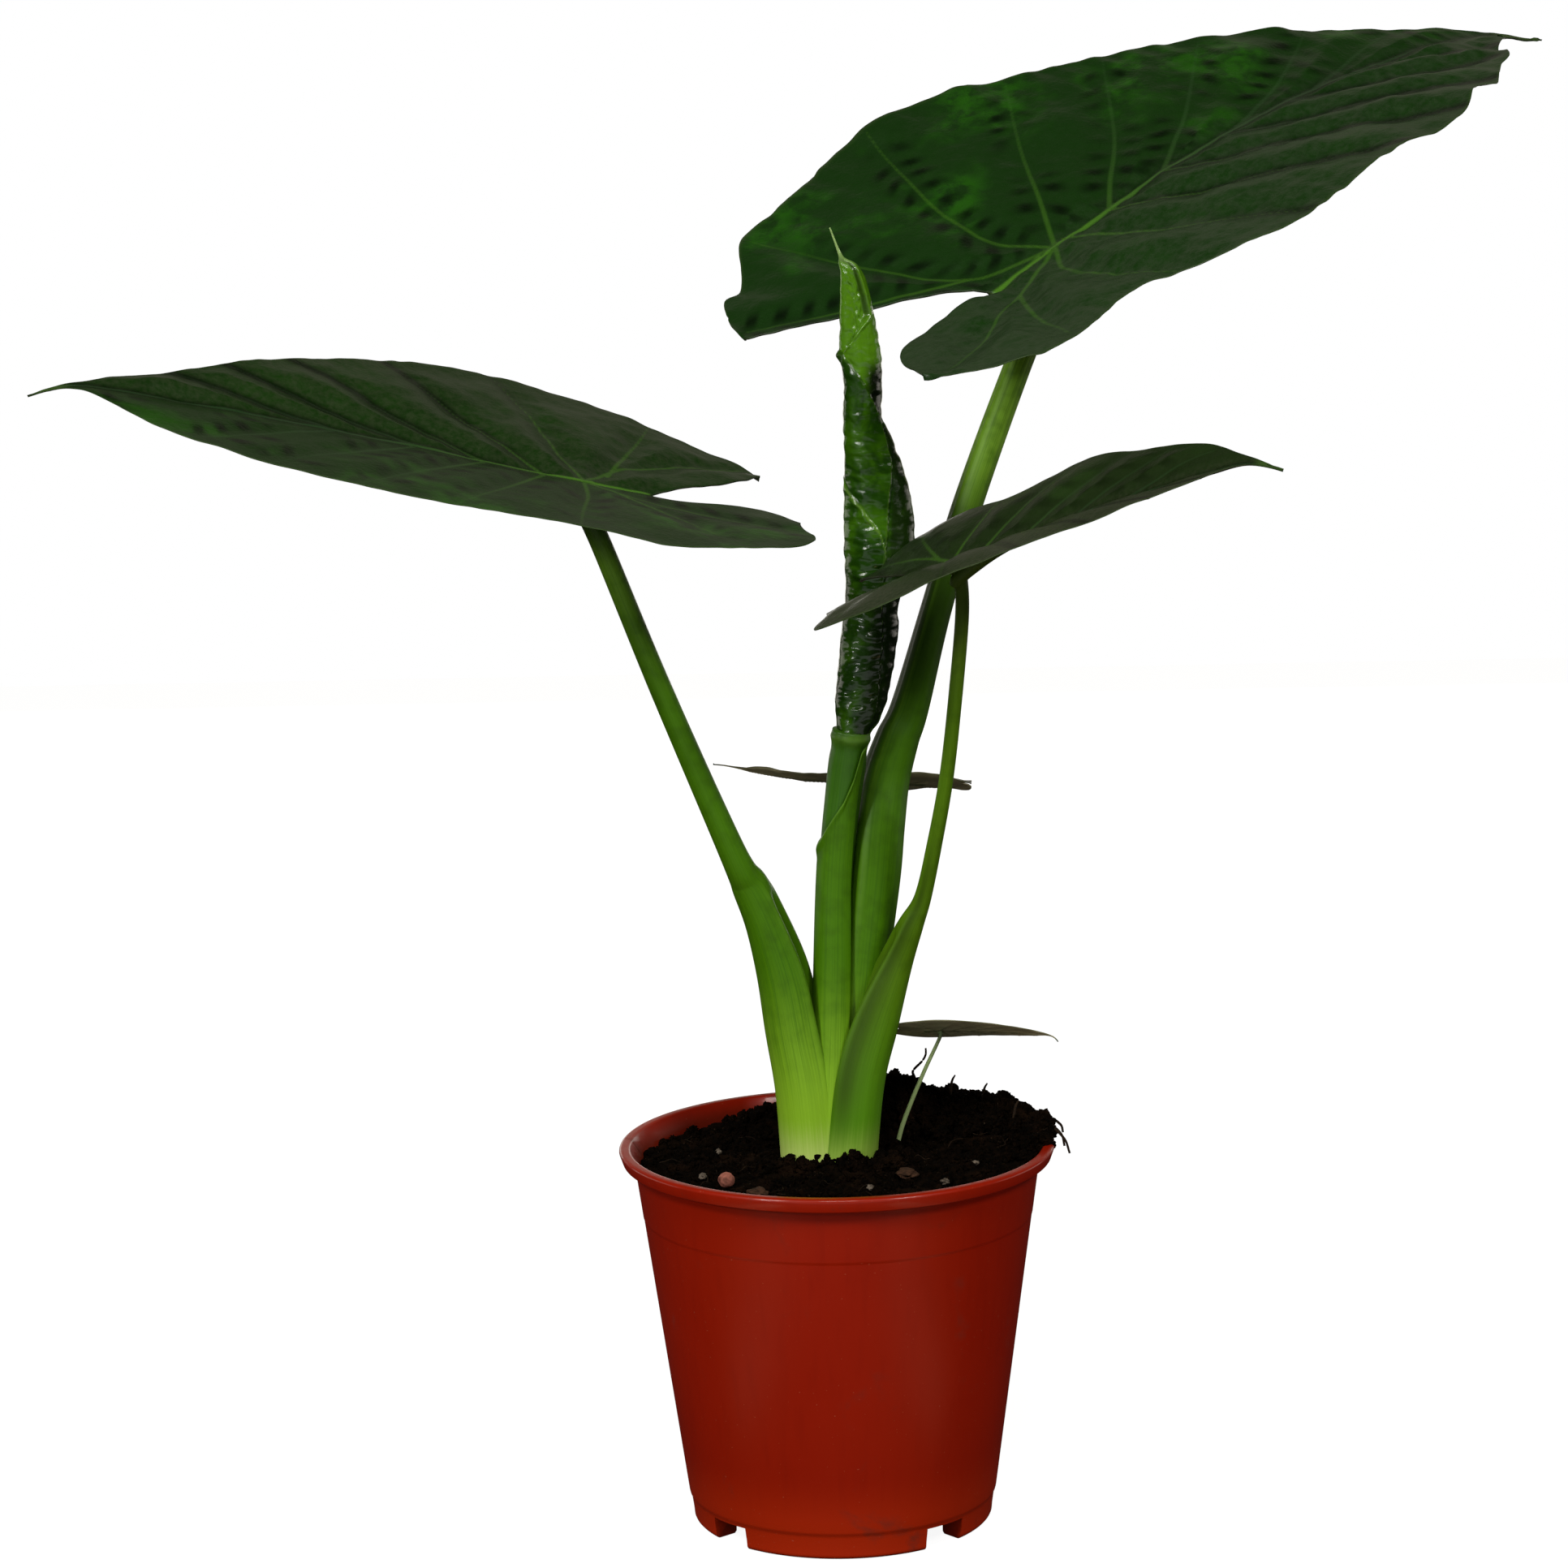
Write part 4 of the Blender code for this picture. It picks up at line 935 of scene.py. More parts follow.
def make_pot(finish):
    """The pot, turned from its section, with the notches cut through its foot."""
    blank = turned_pot()
    cutters = [make_notch_cutter(number) for number in range(NOTCH_COUNT)]
    for cutter in cutters:
        boolean = blank.modifiers.new("notch", "BOOLEAN")
        boolean.operation = "DIFFERENCE"
        boolean.solver = "EXACT"
        boolean.object = cutter
    depsgraph = bpy.context.evaluated_depsgraph_get()
    finished = bpy.data.meshes.new_from_object(blank.evaluated_get(depsgraph))
    for helper in [blank, *cutters]:
        bpy.data.objects.remove(helper, do_unlink=True)
    places = np.array([vertex.co[:] for vertex in finished.vertices])
    faces = [tuple(polygon.vertices) for polygon in finished.polygons]
    lip_bottom = POT_HEIGHT - LIP_HEIGHT
    heights = (0.0, lip_bottom, POT_HEIGHT)
    skin_inside = (wall_radius(0.0) - WALL, wall_radius(lip_bottom) - WALL, RIM_RADIUS - 0.0054)
    past = np.hypot(places[:, 0], places[:, 1]) - np.interp(places[:, 2], heights, skin_inside)
    # The inner wall, which gets painted shade and no coat.
    marks = {"inside": 1 - smooth_rise(past, 0.0003, 0.0008)}
    pot = make_piece("pot_shell", places, faces, finish, ["pot"], marks)
    pot.data.set_sharp_from_angle(angle=math.radians(38))
    return pot


def make_notch_cutter(number):
    """A slot through the foot's wall, as wide as the notch and open below."""
    mesh = bpy.data.meshes.new("notch_cutter")
    width = 2 * BASE_RADIUS * math.tan(NOTCH_ANGLE / 2)
    size = Matrix.Diagonal((NOTCH_REACH, width, 2 * NOTCH_HEIGHT, 1.0))
    shape = bmesh.new()
    bmesh.ops.create_cube(shape, size=1.0, matrix=size)
    shape.to_mesh(mesh)
    shape.free()
    cutter = add_object("notch_cutter", mesh)
    turn = NOTCH_TURN + math.radians(45) + number * math.tau / NOTCH_COUNT
    cutter.location = (BASE_RADIUS * math.cos(turn), BASE_RADIUS * math.sin(turn), 0.0)
    cutter.rotation_euler = (0.0, 0.0, turn)
    return cutter


# ---------------------------------------------------------------- soil and small things


def soil_height(x, y):
    """The soil's height: its level and the mounds, for arrays of places."""
    height = np.full(np.shape(x), SOIL_LEVEL)
    for centre_x, centre_y, rise, spread in MOUNDS:
        height = height + rise * bell(np.hypot(x - centre_x, y - centre_y), spread)
    return height + 0.0007 * np.sin(210 * x + 1.0) * np.sin(190 * y + 0.6)


def make_soil(finish):
    """The soil in the pot: a crumbly top with a plain body below."""
    rings, steps = 90, 330
    edge_radius = wall_radius(SOIL_LEVEL) - WALL - 0.0002
    radii = edge_radius * np.linspace(0.0, 1.0, rings) ** 0.85
    radii[0] = 0.0004
    angles = np.linspace(0, math.tau, steps, endpoint=False)
    x = (radii[:, None] * np.cos(angles)).ravel()
    y = (radii[:, None] * np.sin(angles)).ravel()
    flat = np.column_stack((x, y, np.zeros(len(x))))
    crumbs = 0.0022 * lumps(flat, 0.0085, 1.0) + 0.0012 * np.abs(lumps(flat, 0.0036, 2.0))
    crumbs += 0.0006 * lumps(flat, 0.0015, 3.0)
    edge = np.clip((edge_radius - np.hypot(x, y)) / 0.008, 0, 1)
    lift = (soil_height(x, y) - SOIL_LEVEL) * (0.35 + 0.65 * edge)
    points = [np.column_stack((x, y, SOIL_LEVEL + lift + crumbs))]
    below = [(edge_radius - 0.001, 0.152), (wall_radius(0.09) - WALL - 0.0004, 0.09)]
    below += [(0.0655, 0.014), (0.0004, 0.014)]
    circle = np.column_stack((np.cos(angles), np.sin(angles), np.zeros(steps)))
    points += [radius * circle + (0.0, 0.0, height) for radius, height in below]
    faces = [tuple(reversed(face)) for face in tube_faces(rings + len(below), steps)]
    return make_piece("soil_body", np.vstack(points), faces, finish, ["potting_soil"])


def clod(place, size, balls, rng):
    """An irregular lump: a ball of points, pushed in and out, stretched and turned."""
    small, large = balls
    points, faces = large if size > LARGE_CLOD else small
    radii = size * rng.uniform(0.6, 1.25, 3)
    axis = Vector(rng.normal(size=3)).normalized()
    turn = np.array(Matrix.Rotation(rng.uniform(0, math.tau), 3, axis))
    push = 1 + 0.30 * rng.uniform(-1, 1, len(points))
    return points * push[:, None] * radii @ turn.T + np.array(place), faces


def ball(divisions):
    """A ball of points one unit in radius, and its faces."""
    shape = bmesh.new()
    bmesh.ops.create_icosphere(shape, subdivisions=divisions, radius=1.0)
    points = np.array([vertex.co[:] for vertex in shape.verts])
    faces = [tuple(vertex.index for vertex in face.verts) for face in shape.faces]
    shape.free()
    return points, faces


def make_clods(finish):
    """Crumbs and clods over the soil, thicker on the heap, round the stems and over the right of the rim."""
    rng = np.random.default_rng(11)
    balls = ball(2), ball(3)
    shapes = []
    edge = wall_radius(SOIL_LEVEL) - WALL - 0.001
    for _ in range(CLOD_COUNT):
        radius = edge * math.sqrt(rng.uniform(0, 1))
        angle = rng.uniform(0, math.tau)
        x, y = radius * math.cos(angle), radius * math.sin(angle)
        size = 0.0006 + 0.0022 * rng.uniform(0, 1) ** 3
        rim_fade = 0.35 + 0.65 * min(1.0, (edge - radius) / 0.008)
        z = SOIL_LEVEL + (float(soil_height(x, y)) - SOIL_LEVEL) * rim_fade + 0.0008
        shapes.append(clod((x, y, z), size, balls, rng))
    for centre, spread, (largest, proud), count in CLOD_CLUSTERS:
        for _ in range(count):
            x, y, z = np.array(centre) + np.clip(rng.normal(size=3), -1.9, 1.9) * np.array(spread)
            radius = math.hypot(x, y)
            if radius > RIM_RADIUS + 0.0005:
                continue
            ground = POT_HEIGHT - 0.0005 if radius > edge else float(soil_height(x, y))
            place = (x, y, min(z, ground + proud))
            shapes.append(clod(place, rng.uniform(0.0008, largest), balls, rng))
    points, faces = gather(*shapes)
    points[:, 2] = np.minimum(points[:, 2], CLOD_TOP)
    return make_piece("soil_clods", points, faces, finish, smooth=False)


def wire(points, radius, sides=6, taper=0.4):
    """A thin round thread through the points, thinner towards its end."""
    path = smooth_path(points, 5)
    radii = radius * np.linspace(1.0, taper, len(path))
    tangents = unit(np.gradient(path, axis=0))
    helper = np.where(np.abs(tangents[:, 2:3]) > 0.8, (1.0, 0.0, 0.0), (0.0, 0.0, 1.0))
    across = unit(np.cross(tangents, helper))[:, None, :]
    deep = np.cross(tangents, across[:, 0])[:, None, :]
    angles = np.linspace(0, math.tau, sides, endpoint=False)[None, :, None]
    ring = np.cos(angles) * across + np.sin(angles) * deep
    thread = path[:, None, :] + ring * radii[:, None, None]
    return thread.reshape(-1, 3), tube_faces(len(path), sides)


def make_fibres(finish):
    """Fine peat fibres and root wisps on the soil, and a few over the right of the rim."""
    rng = np.random.default_rng(5)
    shapes = []
    edge = wall_radius(SOIL_LEVEL) - WALL - 0.004
    for _ in range(FIBRE_COUNT):
        radius = edge * math.sqrt(rng.uniform(0.05, 1))
        angle = rng.uniform(0, math.tau)
        x, y = radius * math.cos(angle), radius * math.sin(angle)
        heading = rng.uniform(0, math.tau)
        points = []
        while len(points) < 5 and math.hypot(x, y) <= edge:
            points.append((x, y, float(soil_height(x, y)) + 0.0012 + 0.0022 * rng.uniform(0, 1)))
            heading += rng.uniform(-0.9, 0.9)
            x, y = x + 0.0028 * math.cos(heading), y + 0.0028 * math.sin(heading)
        if len(points) > 2:
            shapes.append(wire(points, rng.uniform(0.00012, 0.00028)))
    for x, y, drop, lean in RIM_THREADS:
        inside, crest = (x - 0.006, y, 0.1690), (x + 0.001, y, 0.1730)
        outside = (x + 0.0060 + lean * 0.4, y, 0.1715 - drop * 0.4)
        end = (x + 0.0065 + lean, y - 0.001, 0.1705 - drop)
        shapes.append(wire((inside, crest, outside, end), 0.00070, taper=0.8))
    for x, y, top in HEAP_SPIKES:
        points = [(x - 0.001, y, top - 0.010), (x, y, top - 0.003), (x + 0.0015, y, top)]
        shapes.append(wire(points, 0.0009))
    points, faces = gather(*shapes)
    return make_piece("peat_fibres", points, faces, finish)


def make_root_thread(finish):
    """One stray root that lies on the soil."""
    points, faces = wire(ROOT_THREAD, 0.00070, sides=8, taper=0.6)
    return make_piece("root_wisp", points, faces, finish, ["root_thread"])


def make_lump(node, name, finish, rough, seed):
    """An irregular grain in the place and size of its node."""
    low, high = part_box(node)
    centre = np.array((low + high) / 2) - ORIGIN
    radii = np.array((high - low) / 2)
    points, faces = ball(4)
    push = 1 + rough * lumps(points * 0.01, 0.008, seed) + 0.4 * rough * lumps(points * 0.01, 0.003, seed + 2)
    return make_piece(name, points * push[:, None] * radii + centre, faces, finish, [node])


# ---------------------------------------------------------------- finishes


class Wire:
    """A socket of numbers that takes part in Python sums. Each sum adds a Math node."""

    def __init__(self, finish, socket):
        self.finish = finish
        self.socket = socket

    def __add__(self, other):
        return self.finish.math("ADD", self, other)

    def __sub__(self, other):
        return self.finish.math("SUBTRACT", self, other)

    def __rsub__(self, other):
        return self.finish.math("SUBTRACT", other, self)

    def __mul__(self, other):
        return self.finish.math("MULTIPLY", self, other)

    __radd__ = __add__
    __rmul__ = __mul__


class Finish:
    """A material or a world, with short ways to add its nodes."""

    def __init__(self, name, library=bpy.data.materials):
        self.owner = library.new(name)
        self.owner.use_nodes = True
        self.tree = self.owner.node_tree
        self.tree.nodes.clear()

    def node(self, kind, settings, sockets, output=0):
        """Add a node: first its settings, then its sockets' values or links. Gives one of its outputs."""
        node = self.tree.nodes.new(kind)
        for name, value in settings.items():
            setattr(node, name, value)
        found = {socket.identifier: socket for socket in node.inputs}
        for name, value in sockets.items():
            if isinstance(value, Wire):
                self.tree.links.new(value.socket, found[name])
            else:
                found[name].default_value = value
        if node.outputs:
            outputs = {socket.identifier: socket for socket in node.outputs}
            return Wire(self, outputs.get(output) or node.outputs[0])

    def math(self, operation, first, second):
        return self.node("ShaderNodeMath", {"operation": operation}, {"Value": first, "Value_001": second})

    def place(self):
        return self.node("ShaderNodeTexCoord", {}, {}, "Object")

    def mark(self, name):
        return self.node("ShaderNodeAttribute", {"attribute_name": name}, {}, "Fac")

    def noise(self, vector, scale, detail=3.0, roughness=0.5, distortion=0.0):
        sockets = {"Vector": vector, "Scale": scale, "Detail": detail, "Roughness": roughness}
        return self.node("ShaderNodeTexNoise", {}, {**sockets, "Distortion": distortion})

    def rise(self, value, low, high):
        """0 below low, 1 above high, and a smooth rise between."""
        sockets = {"Value": value, "From Min": low, "From Max": high}
        return self.node("ShaderNodeMapRange", {"interpolation_type": "SMOOTHSTEP"}, sockets)

    def mix(self, colour, *layers):
        """A colour with others laid over it, each with its mask."""
        for layer, mask in layers:
            sockets = {"Factor_Float": mask}
            for name, part in (("A_Color", colour), ("B_Color", layer)):
                sockets[name] = part if isinstance(part, Wire) else (*part, 1.0)
            colour = self.node("ShaderNodeMix", {"data_type": "RGBA"}, sockets, "Result_Color")
        return colour

    def stretch(self, vector, scale):
        """The place, stretched along each axis."""
        sockets = {"Vector": vector, "Vector_001": scale}
        return self.node("ShaderNodeVectorMath", {"operation": "MULTIPLY"}, sockets)

    def vector(self, x, y, z):
        return self.node("ShaderNodeCombineXYZ", {}, {"X": x, "Y": y, "Z": z})

    def bump(self, height, distance, strength=1.0):
        return self.node("ShaderNodeBump", {}, {"Height": height, "Distance": distance, "Strength": strength})

    def skin(self, colour, roughness, normal, specular, **others):
        """The surface itself, from its colour, roughness, bump and fixed values. Gives the material."""
        sockets = {"Base Color": colour, "Roughness": roughness, "Specular IOR Level": specular, **others}
        if normal:
            sockets["Normal"] = normal
        shader = self.node("ShaderNodeBsdfPrincipled", {}, sockets)
        self.node("ShaderNodeOutputMaterial", {}, {"Surface": shader})
        return self.owner


def pot_finish():
    """Moulded plastic: cloudy red, with painted light on the foot, painted shade on the inner wall, smudges
    of soil, specks and a shinier rim.
    """
    f = Finish("moulded terracotta plastic")
    place = f.place()
    cloudy = f.noise(place, 14.0)
    flow = f.noise(f.stretch(place, (220.0, 220.0, 9.0)), 1.0)
    speck = f.rise(f.noise(place, 900.0, 1.0), 0.76, 0.80)
    height = f.node("ShaderNodeSeparateXYZ", {}, {"Vector": place}, "Z")
    smudge = f.rise(f.noise(place, 42.0, 5.0, 0.6, 0.4), 0.60, 0.74)
    low = 1 - f.rise(height, 0.004, 0.050)
    high = f.rise(height, 0.140, 0.168)
    inside = f.mark("inside")
    colour = f.mix(
        (0.235, 0.0070, 0.0003),
        ((0.275, 0.0100, 0.0006), cloudy),
        ((0.195, 0.0055, 0.0003), 0.25 * f.rise(flow, 0.45, 0.75)),
        # Painted light on the foot, as if bounced up from the floor.
        ((0.390, 0.0210, 0.0025), 0.8 * (1 - f.rise(height, 0.008, 0.040))),
        ((0.060, 0.018, 0.010), smudge * (0.22 + 0.25 * low + 0.45 * high)),
        # Painted shade on the inner wall.
        ((0.075, 0.012, 0.005), 0.60 * inside),
        ((0.42, 0.16, 0.10), 0.35 * speck),
    )
    roughness = 0.34 + 0.10 * cloudy + 0.25 * smudge
    normal = f.bump(f.noise(place, 1500.0, 2.0) + 2.0 * f.noise(place, 60.0, 2.0), 0.00004, 0.6)
    rim = f.rise(height, POT_HEIGHT - LIP_HEIGHT, POT_HEIGHT - 0.0010)
    coat = {"Coat Weight": 0.28 * rim * (1 - inside), "Coat Roughness": 0.10}
    return f.skin(colour, roughness, normal, 0.14, **coat)


def soil_finish():
    """Near-black peat with browner patches and pale flecks."""
    f = Finish("peat soil")
    place = f.place()
    crumb = f.noise(place, 420.0, 5.0, 0.65)
    patch = f.noise(place, 60.0)
    fleck = f.rise(f.noise(place, 760.0, 2.0), 0.68, 0.76)
    colour = f.mix(
        (0.0008, 0.0005, 0.0002),
        ((0.0060, 0.0028, 0.0010), f.rise(crumb, 0.35, 0.80)),
        ((0.0160, 0.0075, 0.0035), 0.45 * f.rise(patch, 0.50, 0.75)),
        ((0.060, 0.038, 0.024), 0.35 * fleck),
    )
    return f.skin(colour, 0.85 + 0.1 * patch, f.bump(crumb, 0.0012, 0.9), 0.03)


def scaled(colour, share):
    """A colour made darker or brighter."""
    return tuple(share * part for part in colour)


def leaf_finish(name, dark, bright, painted_sheen, under_colour, patchiness=1.0, gloss=0.20):
    """A leaf: dark and bright patches, a painted sheen on its right half, painted shade in its valleys and
    small folds, pale veins and a plain underside.
    """
    f = Finish(name)
    place = f.place()
    rib = f.mark("rib")
    reach = f.mark("reach")
    side_way = f.mark("side_way")
    vein = (1 - f.rise(f.mark("widths_away"), 0.20, 1.15)) * f.mark("strength")
    middle = f.noise(place, 75.0, 4.0, 0.6, 0.3)
    cells = f.noise(f.vector(reach, side_way, 0.0), 70.0, 4.0, 0.65)
    left = f.rise(side_way, -0.02, 0.05)
    mostly_left = 0.15 + 0.85 * left
    patches = f.rise(f.noise(place, 20.0, 3.0, 0.55), 0.46, 0.66) * f.rise(middle, 0.36, 0.62) * mostly_left
    shade = scaled(dark, 0.10)
    young = 1 - f.rise(reach, 0.00, 0.62)
    pale_vein = f.mix((0.034, 0.078, 0.028), ((0.064, 0.180, 0.014), young * young))
    top = f.mix(
        dark,
        (bright, patchiness * patches),
        # Painted sheen, mostly on the right half.
        (painted_sheen, 0.68 * f.rise(cells, 0.30, 0.70) * (1 - 0.90 * left)),
        # Painted shade in the small folds beside the veins.
        (shade, 0.85 * patchiness * f.mark("quilt_shade") * mostly_left),
        # Painted shade in the valleys along the veins of the right half.
        (shade, 0.92 * f.mark("valley_shade") * (1 - left) * f.rise(reach, 0.02, 0.20)),
        (pale_vein, vein * (0.60 + 0.25 * young)),
    )
    below = f.mix(
        under_colour,
        (scaled(under_colour, 1.5), f.rise(middle, 0.3, 0.7)),
        ((0.070, 0.100, 0.025), 0.7 * f.rise(rib, 0.10, 0.55)),
    )
    under = f.mark("under")
    colour = f.mix(
        top,
        (below, under),
        ((0.045, 0.080, 0.022), 0.45 * f.mark("margin")),
        ((0.030, 0.062, 0.012), f.rise(reach, 1.00, 1.04)),
    )
    net = f.node("ShaderNodeTexVoronoi", {"feature": "DISTANCE_TO_EDGE"}, {"Vector": place, "Scale": 260.0})
    height = 0.5 * f.rise(net, 0.0, 0.25) + 0.4 * f.noise(place, 700.0, 3.0, 0.6) + 1.5 * middle
    roughness = 0.30 + 0.14 * cells + 0.10 * under
    return f.skin(colour, roughness, f.bump(height, 0.00014, 0.7), gloss)


def stem_finish(name, base, lower, middle, upper, stripe, gloss=0.16):
    """A fleshy stem: pale at its base, greener above, brighter at the top partly by a painted highlight wash,
    with fine streaks, light rims and painted shade.
    """
    f = Finish(name)
    height = f.mark("height")
    round_x = f.mark("round_x")
    round_y = f.mark("round_y")
    streak = f.noise(f.vector(7.0 * round_x, 7.0 * round_y, 5.0 * height), 2.2, 4.0, 0.6)
    mottle = f.noise(f.place(), 130.0)
    hair = f.noise(f.vector(26.0 * round_x, 26.0 * round_y, 9.0 * height), 2.0)
    uneven = height + 0.014 * streak
    colour = f.mix(
        base,
        (lower, f.rise(uneven, 0.163, 0.190)),
        (middle, f.rise(uneven, 0.185, 0.262)),
        # Brighter upper stretch: partly the stem's own paler green, partly a painted highlight wash.
        (upper, f.rise(height, 0.360, 0.470)),
        # Painted shade at the upper end, under the blade.
        (scaled(middle, 0.25), 0.85 * f.mark("neck")),
        (stripe, 0.50 * f.rise(streak, 0.42, 0.70) * f.rise(height, 0.165, 0.230)),
        # Painted shade in grooves, where stems lie against each other and below the middle blade.
        (scaled(middle, 0.30), 0.88 * f.mark("painted_shade")),
        ((0.120, 0.260, 0.025), 0.45 * f.mark("rim")),
        (scaled(middle, 0.55), 0.50 * (f.rise(mottle, 0.42, 0.75) * f.rise(height, 0.185, 0.260))),
    )
    roughness = 0.38 - 0.30 * gloss + 0.12 * streak
    return f.skin(colour, roughness, f.bump(hair + 0.4 * mottle, 0.00014, 0.6), gloss)


def young_leaf_finish():
    """The rolled leaf: glossy, blotched and rippled, with pale edges, a brighter inside, painted shade in its
    folds and on its back, and a painted shadow below the middle blade.
    """
    f = Finish("young rolled leaf")
    height = f.mark("height")
    place = f.place()
    streak = f.noise(f.vector(3.0 * f.mark("round_x"), 3.0 * f.mark("round_y"), 22.0 * height), 2.4, 4.0, 0.6)
    blotch = f.noise(place, 70.0, 3.0, 0.55, 0.5)
    bright = f.mix((0.048, 0.150, 0.003), ((0.080, 0.205, 0.005), streak))
    colour = f.mix(
        (0.009, 0.040, 0.0006),
        ((0.034, 0.112, 0.0012), f.rise(blotch, 0.40, 0.68)),
        (bright, f.mark("inner") * f.rise(height, 0.484, 0.512)),
        # Painted shade and the painted shadow of the middle blade.
        ((0.0045, 0.0110, 0.0008), f.mark("shadow")),
        ((0.130, 0.260, 0.030), 0.75 * f.mark("edge")),
        ((0.240, 0.360, 0.120), f.rise(height, 0.548, 0.556)),
    )
    ripple = f.noise(f.stretch(place, (1.0, 1.0, 1.6)), 260.0, 1.0, 0.4)
    return f.skin(colour, 0.19 + 0.06 * blotch, f.bump(ripple + 0.2 * streak, 0.0005, 0.5), 0.44)


def grain_finish(name, light, dark, roughness):
    """Perlite, clay, bark and roots: two tones in fine grain, with a rough skin."""
    f = Finish(name)
    place = f.place()
    grain = f.noise(place, 520.0, 5.0, 0.65)
    dirt = f.rise(f.noise(place, 210.0), 0.48, 0.66)
    colour = f.mix(light, (dark, f.rise(grain, 0.35, 0.75)), ((0.012, 0.007, 0.004), 0.6 * dirt))
    return f.skin(colour, roughness + 0.08 * grain, f.bump(grain, 0.0006, 0.7), 0.10)


def floor_finish():
    """A white floor that glows a little, so that it shows no shade."""
    f = Finish("pale floor")
    colour = f.mix((0.24, 0.24, 0.24), ((0.26, 0.26, 0.26), f.noise(f.place(), 9.0, 2.0)))
    glow = {"Emission Color": (1.0, 1.0, 1.0, 1.0), "Emission Strength": 0.92}
    return f.skin(colour, 0.85, None, 0.0, **glow)


# ---------------------------------------------------------------- studio


def make_camera():
    """A camera that looks at the plant from the front and a little above, leaning slightly."""
    down, aside, lean = CAMERA_TURNS
    lens = bpy.data.cameras.new("camera")
    lens.lens = CAMERA_LENS
    lens.clip_end = 20.0
    camera = add_object("camera", lens)
    turns = ((-aside, "Z"), (math.pi / 2 - down, "X"), (lean, "Z"))
    place = Matrix.Translation(CAMERA_PLACE)
    for angle, axis in turns:
        place = place @ Matrix.Rotation(angle, 4, axis)
    camera.matrix_world = place
    bpy.context.scene.camera = camera


def soft_light(name, place, aim, size, power, colour):
    """A soft lamp that points at a place and isn't seen itself."""
    lamp = bpy.data.lights.new(name, "AREA")
    lamp.shape = "RECTANGLE"
    lamp.size, lamp.size_y = size
    lamp.energy = power
    lamp.color = colour
    light = add_object(name, lamp)
    light.location = place
    light.rotation_euler = (Vector(aim) - Vector(place)).to_track_quat("-Z", "Y").to_euler()
    light.visible_camera = False


def make_studio():
    """A white room for the camera, dim in what the surfaces mirror, with soft lights all round and below."""
    room = Finish("studio", bpy.data.worlds)
    seen = room.node("ShaderNodeLightPath", {}, {}, "Is Camera Ray")
    levels = {"Value": seen, "To Min": ROOM_MIRRORED, "To Max": ROOM_SEEN}
    sockets = {"Color": (1.0, 1.0, 1.0, 1.0), "Strength": room.node("ShaderNodeMapRange", {}, levels)}
    room.node("ShaderNodeOutputWorld", {}, {"Surface": room.node("ShaderNodeBackground", {}, sockets)})
    bpy.context.scene.world = room.owner
    for light in LIGHTS:
        soft_light(*light)
    bpy.context.scene.view_settings.view_transform = "Standard"


def make_floor():
    """A pale floor that lights nothing and isn't mirrored in the pot."""
    half = FLOOR_HALF_WIDTH
    corners = [(-half, -half), (half, -half), (half, FLOOR_BACK), (-half, FLOOR_BACK)]
    mesh = bpy.data.meshes.new("floor")
    mesh.from_pydata([(x, y, ORIGIN[2] - 0.0002) for x, y in corners], [], [(0, 1, 2, 3)])
    mesh.materials.append(floor_finish())
    floor = add_object("floor", mesh)
    floor.visible_diffuse = False
    floor.visible_glossy = False


# ---------------------------------------------------------------- the whole


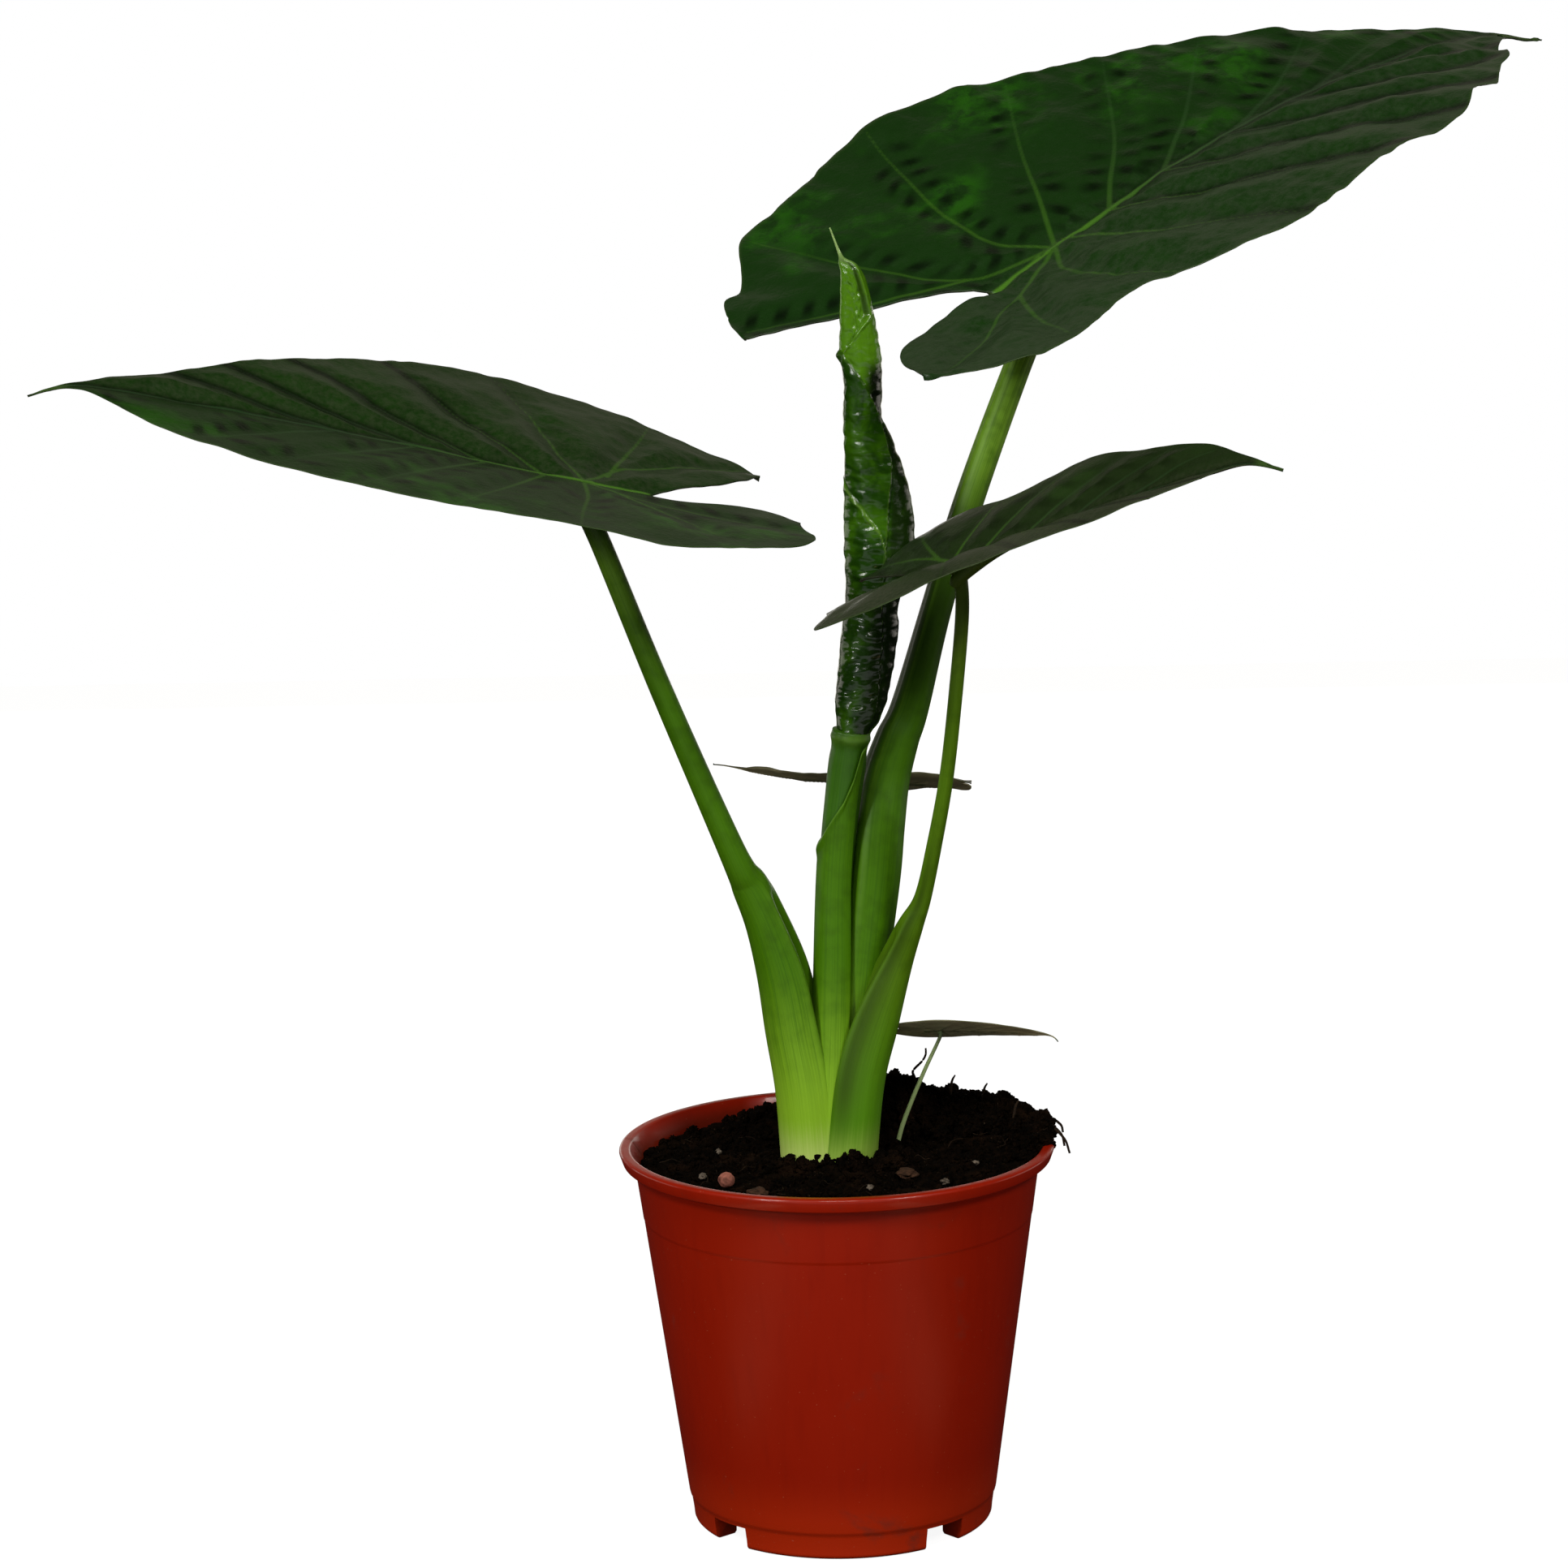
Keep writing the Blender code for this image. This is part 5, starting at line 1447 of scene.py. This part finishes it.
def make_plant():
    """Every leaf with its stem, the sheath and the rolled leaf, with their finishes."""
    # Each leaf's third colour is a painted sheen.
    dark_leaf = leaf_finish("leaf blade", (0.0062, 0.0270, 0.0030), (0.0130, 0.0720, 0.0030),
                            (0.0230, 0.0420, 0.0170), (0.046, 0.058, 0.030))
    grey_leaf = leaf_finish("greyer leaf blade", (0.0100, 0.0205, 0.0048), (0.0180, 0.0440, 0.0080),
                            (0.0360, 0.0420, 0.0220), (0.050, 0.058, 0.032), 0.5, 0.10)
    side_leaf = leaf_finish("side leaf blade", (0.0066, 0.0240, 0.0030), (0.0130, 0.0620, 0.0030),
                            (0.0250, 0.0380, 0.0150), (0.046, 0.058, 0.030), 1.0, 0.12)
    small_leaf = leaf_finish("small leaf blade", (0.0220, 0.0340, 0.0100), (0.0300, 0.0480, 0.0100),
                             (0.0420, 0.0460, 0.0260), (0.360, 0.330, 0.190), 0.5)
    green_stem = stem_finish("leaf stem", (0.500, 0.620, 0.170), (0.220, 0.420, 0.018), (0.056, 0.165, 0.001),
                             (0.170, 0.345, 0.022), (0.024, 0.095, 0.001))
    middle_stem = stem_finish("middle leaf stem", (0.300, 0.450, 0.070), (0.085, 0.240, 0.006),
                              (0.088, 0.195, 0.004), (0.250, 0.360, 0.028), (0.034, 0.100, 0.001))
    sheath = stem_finish("spear sheath", (0.440, 0.580, 0.150), (0.160, 0.340, 0.015), (0.036, 0.130, 0.001),
                         (0.036, 0.130, 0.001), (0.018, 0.080, 0.001), 0.30)
    pale_stem = stem_finish("plantlet stem", (0.300, 0.380, 0.170), (0.310, 0.410, 0.170),
                            (0.330, 0.430, 0.190), (0.300, 0.400, 0.180), (0.200, 0.280, 0.110))
    make_blade("blade_right", dark_leaf)
    make_blade("blade_left", side_leaf)
    make_blade("blade_middle", grey_leaf)
    make_blade("blade_back", small_leaf)
    make_blade("plantlet_blade", small_leaf)
    keel, keel_faces, angles, path = tube(MIDDLE_KEEL, 20, 8)
    # The keel's upper end gets painted shade under the blade.
    keel_marks = stem_marks(keel, angles, len(path), shaded=0.080)
    make_stem("petiole_right", PETIOLE_RIGHT, green_stem, "blade_right", 0.15, RIGHT_CREASES, RIGHT_SHADES,
              extra=spear_wrap())
    make_stem("petiole_left", PETIOLE_LEFT, green_stem, "blade_left", 0.25, LEFT_CREASES)
    make_stem("petiole_middle", PETIOLE_MIDDLE, middle_stem, "blade_middle", 0.5, MIDDLE_CREASES,
              MIDDLE_SHADES, extra=(keel, keel_faces, keel_marks))
    make_stem("petiole_back", PETIOLE_BACK, green_stem, "blade_back", 0.3, BACK_CREASES, sides=36)
    make_stem("plantlet_petiole", PLANTLET_PETIOLE, pale_stem, "plantlet_blade", 0.5, sides=24, shaded=0.006)
    make_spear_sheath(sheath)
    make_rolled_leaf(young_leaf_finish())


def make_ground():
    """The soil and everything on and in it."""
    soil = soil_finish()
    perlite = grain_finish("perlite grain", (0.150, 0.120, 0.092), (0.050, 0.038, 0.028), 0.85)
    bark = grain_finish("bark", (0.055, 0.026, 0.014), (0.020, 0.010, 0.006), 0.85)
    clay = grain_finish("fired clay", (0.330, 0.120, 0.085), (0.200, 0.065, 0.045), 0.80)
    fibre = grain_finish("root fibre", (0.022, 0.012, 0.006), (0.008, 0.005, 0.003), 0.80)
    make_soil(soil)
    make_clods(soil)
    make_fibres(fibre)
    make_root_thread(fibre)
    make_lump("clay_pebble", "clay_ball", clay, 0.10, 1.0)
    for number in range(1, 6):
        make_lump(f"perlite_{number}", f"perlite_grain_{number}", perlite, 0.60, number + 3.0)
    for number in range(1, 3):
        make_lump(f"bark_chip_{number}", f"bark_piece_{number}", bark, 0.40, number + 9.0)
    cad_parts["corm"].data.materials.clear()
    corm = grain_finish("corm skin", (0.120, 0.062, 0.030), (0.050, 0.026, 0.013), 0.80)
    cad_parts["corm"].data.materials.append(corm)


make_camera()
make_studio()
make_floor()
make_pot(pot_finish())
make_ground()
make_plant()
